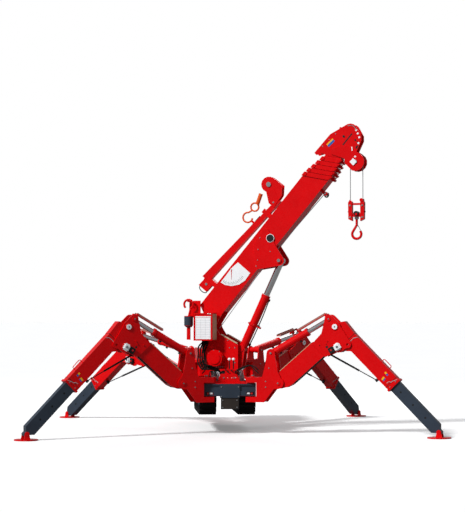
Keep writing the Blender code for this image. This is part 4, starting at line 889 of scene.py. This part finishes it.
def front_leg_hoses(leg, side, count):
    """Hoses from the deck to a front leg; each stretches between the chassis and the bracket."""
    bracket = leg_frames(leg)[0]
    for i in range(count):
        start = Vector((side * (0.085 + 0.018 * i), -0.90 - 0.022 * i, 0.560))
        end = bracket @ Vector((0.058, 0.02 - 0.013 * i, 0.64 + 0.035 * i))
        rise = start + Vector((side * 0.004, 0.012, 0.095))
        middle = (start + end) / 2 + Vector((side * 0.02, 0.045, 0.120 - 0.020 * i))
        before = end + Vector((-side * 0.03, 0.02, 0.03))
        hose = Piece("%s_hose_%d" % (leg, i + 1), "rubber")
        hose.tube([start, rise, middle, before, end], 0.0060)
        hose.done(("chassis", leg + "_bracket", start, end))


# Hook block: heights of its top and of its foot at rest, in the world
HOOK_BLOCK_TOP = 2.482
HOOK_BLOCK_FOOT = 2.255


def hook_fittings():
    """Wheel, side heads, swivel cap and pins of the hook block, and the load hook's latch."""
    top = HOOK_BLOCK_TOP - HOOK.translation.z
    foot = HOOK_BLOCK_FOOT - HOOK.translation.z
    wheels = Piece("hook_sheaves", "black", "hook_gear", HOOK)
    wheels.rod("y", (0.0, foot + 0.080), -0.040, 0.040, 0.027)
    for side in (-1, 1):
        wheels.rod("x", (0.0, foot + 0.100), side * 0.086, side * 0.096, 0.008, 10)
        wheels.rod("x", (0.0, foot + 0.180), side * 0.082, side * 0.090, 0.009, 10)
    wheels.done()
    cap = Piece("hook_swivel_cap", "red", "hook_gear", HOOK)
    cap.rod("y", (0.004, foot + 0.072), -0.046, 0.046, 0.013, 14)
    cap.done()
    pins = Piece("hook_block_pins", "steel", "hook_gear", HOOK)
    for side in (-1, 1):
        spots = ((side * 0.066, foot + 0.040), (side * 0.066, top - 0.060))
        pins.heads(spots, -0.036, 0.036, 0.010)
    pins.rod("z", (0.0, 0.0), foot + 0.020, foot + 0.0445, 0.024, HEX)
    latch = [(0.012, 0.0, foot - 0.045), (0.030, 0.0, foot - 0.075), (0.046, 0.0, foot - 0.112)]
    pins.tube(latch, 0.0035, smooth=4)
    pins.done()


def cylinder_fittings():
    """Oil line with its blocks, and the gland's bolts, on the lift cylinder's barrel."""
    lines = Piece("lift_cylinder_lines", "black", "lift_barrel", CYLINDER)
    lines.tube([(0.075, 0.030, -0.048), (0.20, 0.030, -0.052), (0.42, 0.030, -0.052),
                (0.600, 0.020, -0.046)], 0.006, smooth=4)
    lines.block(0.055, 0.085, 0.010, 0.040, -0.058, -0.036)
    lines.block(0.590, 0.615, 0.006, 0.032, -0.056, -0.036)
    lines.block(0.290, 0.312, -0.010, 0.010, -0.074, -0.052)
    lines.done()
    bolts = Piece("lift_cylinder_bolts", "steel", "lift_barrel", CYLINDER)
    for i in range(6):
        bolts.rod("x", on_circle((0.0, 0.0), 0.053, i * 60.0 + 20.0), 0.296, 0.301, 0.0045, HEX)
    bolts.done()


for leg in LEGS:
    leg_fittings(leg)
cap_and_dial()
boom_and_jib()
hoist_rope()
head_fittings()
column_fittings()
bumper_fittings()
chassis_bolts()
deck_fittings()
hood_fittings()
front_leg_hoses("front_left", -1.0, 4)
front_leg_hoses("front_right", 1.0, 2)
hook_fittings()
cylinder_fittings()


def backdrop():
    """White where the camera sees it, also through clear pieces, and dimmer as a light."""
    world = bpy.data.worlds.new("studio")
    bpy.context.scene.world = world
    world.use_nodes = True
    tree = world.node_tree
    tree.nodes.clear()
    out = tree.nodes.new("ShaderNodeOutputWorld")
    mix = tree.nodes.new("ShaderNodeMixShader")
    seen = tree.nodes.new("ShaderNodeBackground")
    lit = tree.nodes.new("ShaderNodeBackground")
    ray = tree.nodes.new("ShaderNodeLightPath")
    either = tree.nodes.new("ShaderNodeMath")
    either.operation = "MAXIMUM"
    seen.inputs["Color"].default_value = PURE_WHITE
    seen.inputs["Strength"].default_value = 1.0
    lit.inputs["Color"].default_value = WORLD_TINT
    lit.inputs["Strength"].default_value = WORLD_LIGHT
    tree.links.new(ray.outputs["Is Camera Ray"], either.inputs[0])
    tree.links.new(ray.outputs["Is Transmission Ray"], either.inputs[1])
    tree.links.new(either.outputs[0], mix.inputs["Fac"])
    tree.links.new(lit.outputs[0], mix.inputs[1])
    tree.links.new(seen.outputs[0], mix.inputs[2])
    tree.links.new(mix.outputs[0], out.inputs["Surface"])


def socket_of(sockets, name, kind):
    """The socket of that name and type; a mix node repeats its names for each type."""
    return next(s for s in sockets if s.name == name and s.type == kind)


def floor():
    """A pale floor that glows a little where the camera sees it, to meet the white behind it.

    For light that bounces it is darker, so that it doesn't wash out what faces it.
    """
    bm = bmesh.new()
    bmesh.ops.create_grid(bm, x_segments=1, y_segments=1, size=FLOOR_HALF)
    mesh = bpy.data.meshes.new("studio_floor")
    bm.to_mesh(mesh)
    bm.free()
    made = bpy.data.objects.new("studio_floor", mesh)
    bpy.context.scene.collection.objects.link(made)
    n = Nodes("pale_floor")
    n.shader.inputs["Roughness"].default_value = 0.9
    n.shader.inputs["Specular IOR Level"].default_value = 0.1
    slow = n.noise(FLOOR_CLOUD, detail=3.0)
    tones = ((FLOOR_TONE - FLOOR_TONE_VARY,) * 3, (FLOOR_TONE + FLOOR_TONE_VARY,) * 3)
    tone = n.ramp(slow, FLOOR_TONE_RANGE, tones)
    ray = n.add("ShaderNodeLightPath")
    mix = n.add("ShaderNodeMix", data_type="RGBA")
    socket_of(mix.inputs, "A", "RGBA").default_value = (FLOOR_BOUNCE,) * 3 + (1.0,)
    n.tree.links.new(tone.outputs["Color"], socket_of(mix.inputs, "B", "RGBA"))
    n.tree.links.new(ray.outputs["Is Camera Ray"], socket_of(mix.inputs, "Factor", "VALUE"))
    n.tree.links.new(socket_of(mix.outputs, "Result", "RGBA"), n.shader.inputs["Base Color"])
    glow = n.add("ShaderNodeMath", operation="MULTIPLY")
    glow.inputs[1].default_value = FLOOR_GLOW
    n.link(ray, "Is Camera Ray", glow, 0)
    n.shader.inputs["Emission Color"].default_value = PURE_WHITE
    n.link(glow, "Value", n.shader, "Emission Strength")
    mesh.materials.append(n.made)


def lamp(name, kind, place, target, power, **settings):
    """A light aimed at a target, with the settings of its own kind."""
    data = bpy.data.lights.new(name, kind)
    data.energy = power
    for key, value in settings.items():
        setattr(data, key, value)
    made = bpy.data.objects.new(name, data)
    bpy.context.scene.collection.objects.link(made)
    made.location = place
    aim = Vector(target) - Vector(place)
    made.rotation_euler = aim.to_track_quat("-Z", "Y").to_euler()


def camera():
    """The photo's camera, fitted to the pads, the tracks and the boom."""
    data = bpy.data.cameras.new("photo_camera")
    data.sensor_fit = "VERTICAL"
    data.sensor_height = CAMERA_SENSOR
    data.lens = CAMERA_LENS
    data.clip_end = CAMERA_REACH
    made = bpy.data.objects.new("photo_camera", data)
    bpy.context.scene.collection.objects.link(made)
    made.location = CAMERA_PLACE
    made.rotation_euler = (radians(90.0 + CAMERA_UP), 0.0, radians(-CAMERA_YAW))
    bpy.context.scene.camera = made


backdrop()
floor()
lamp("key", "SUN", SUN_PLACE, SUN_TARGET, SUN_POWER, angle=radians(SUN_ANGLE))
lamp("rim", "AREA", RIM_PLACE, RIM_TARGET, RIM_POWER, shape="DISK", size=RIM_SIZE)
camera()

bpy.context.scene.view_settings.view_transform = "Standard"
bpy.context.view_layer.update()
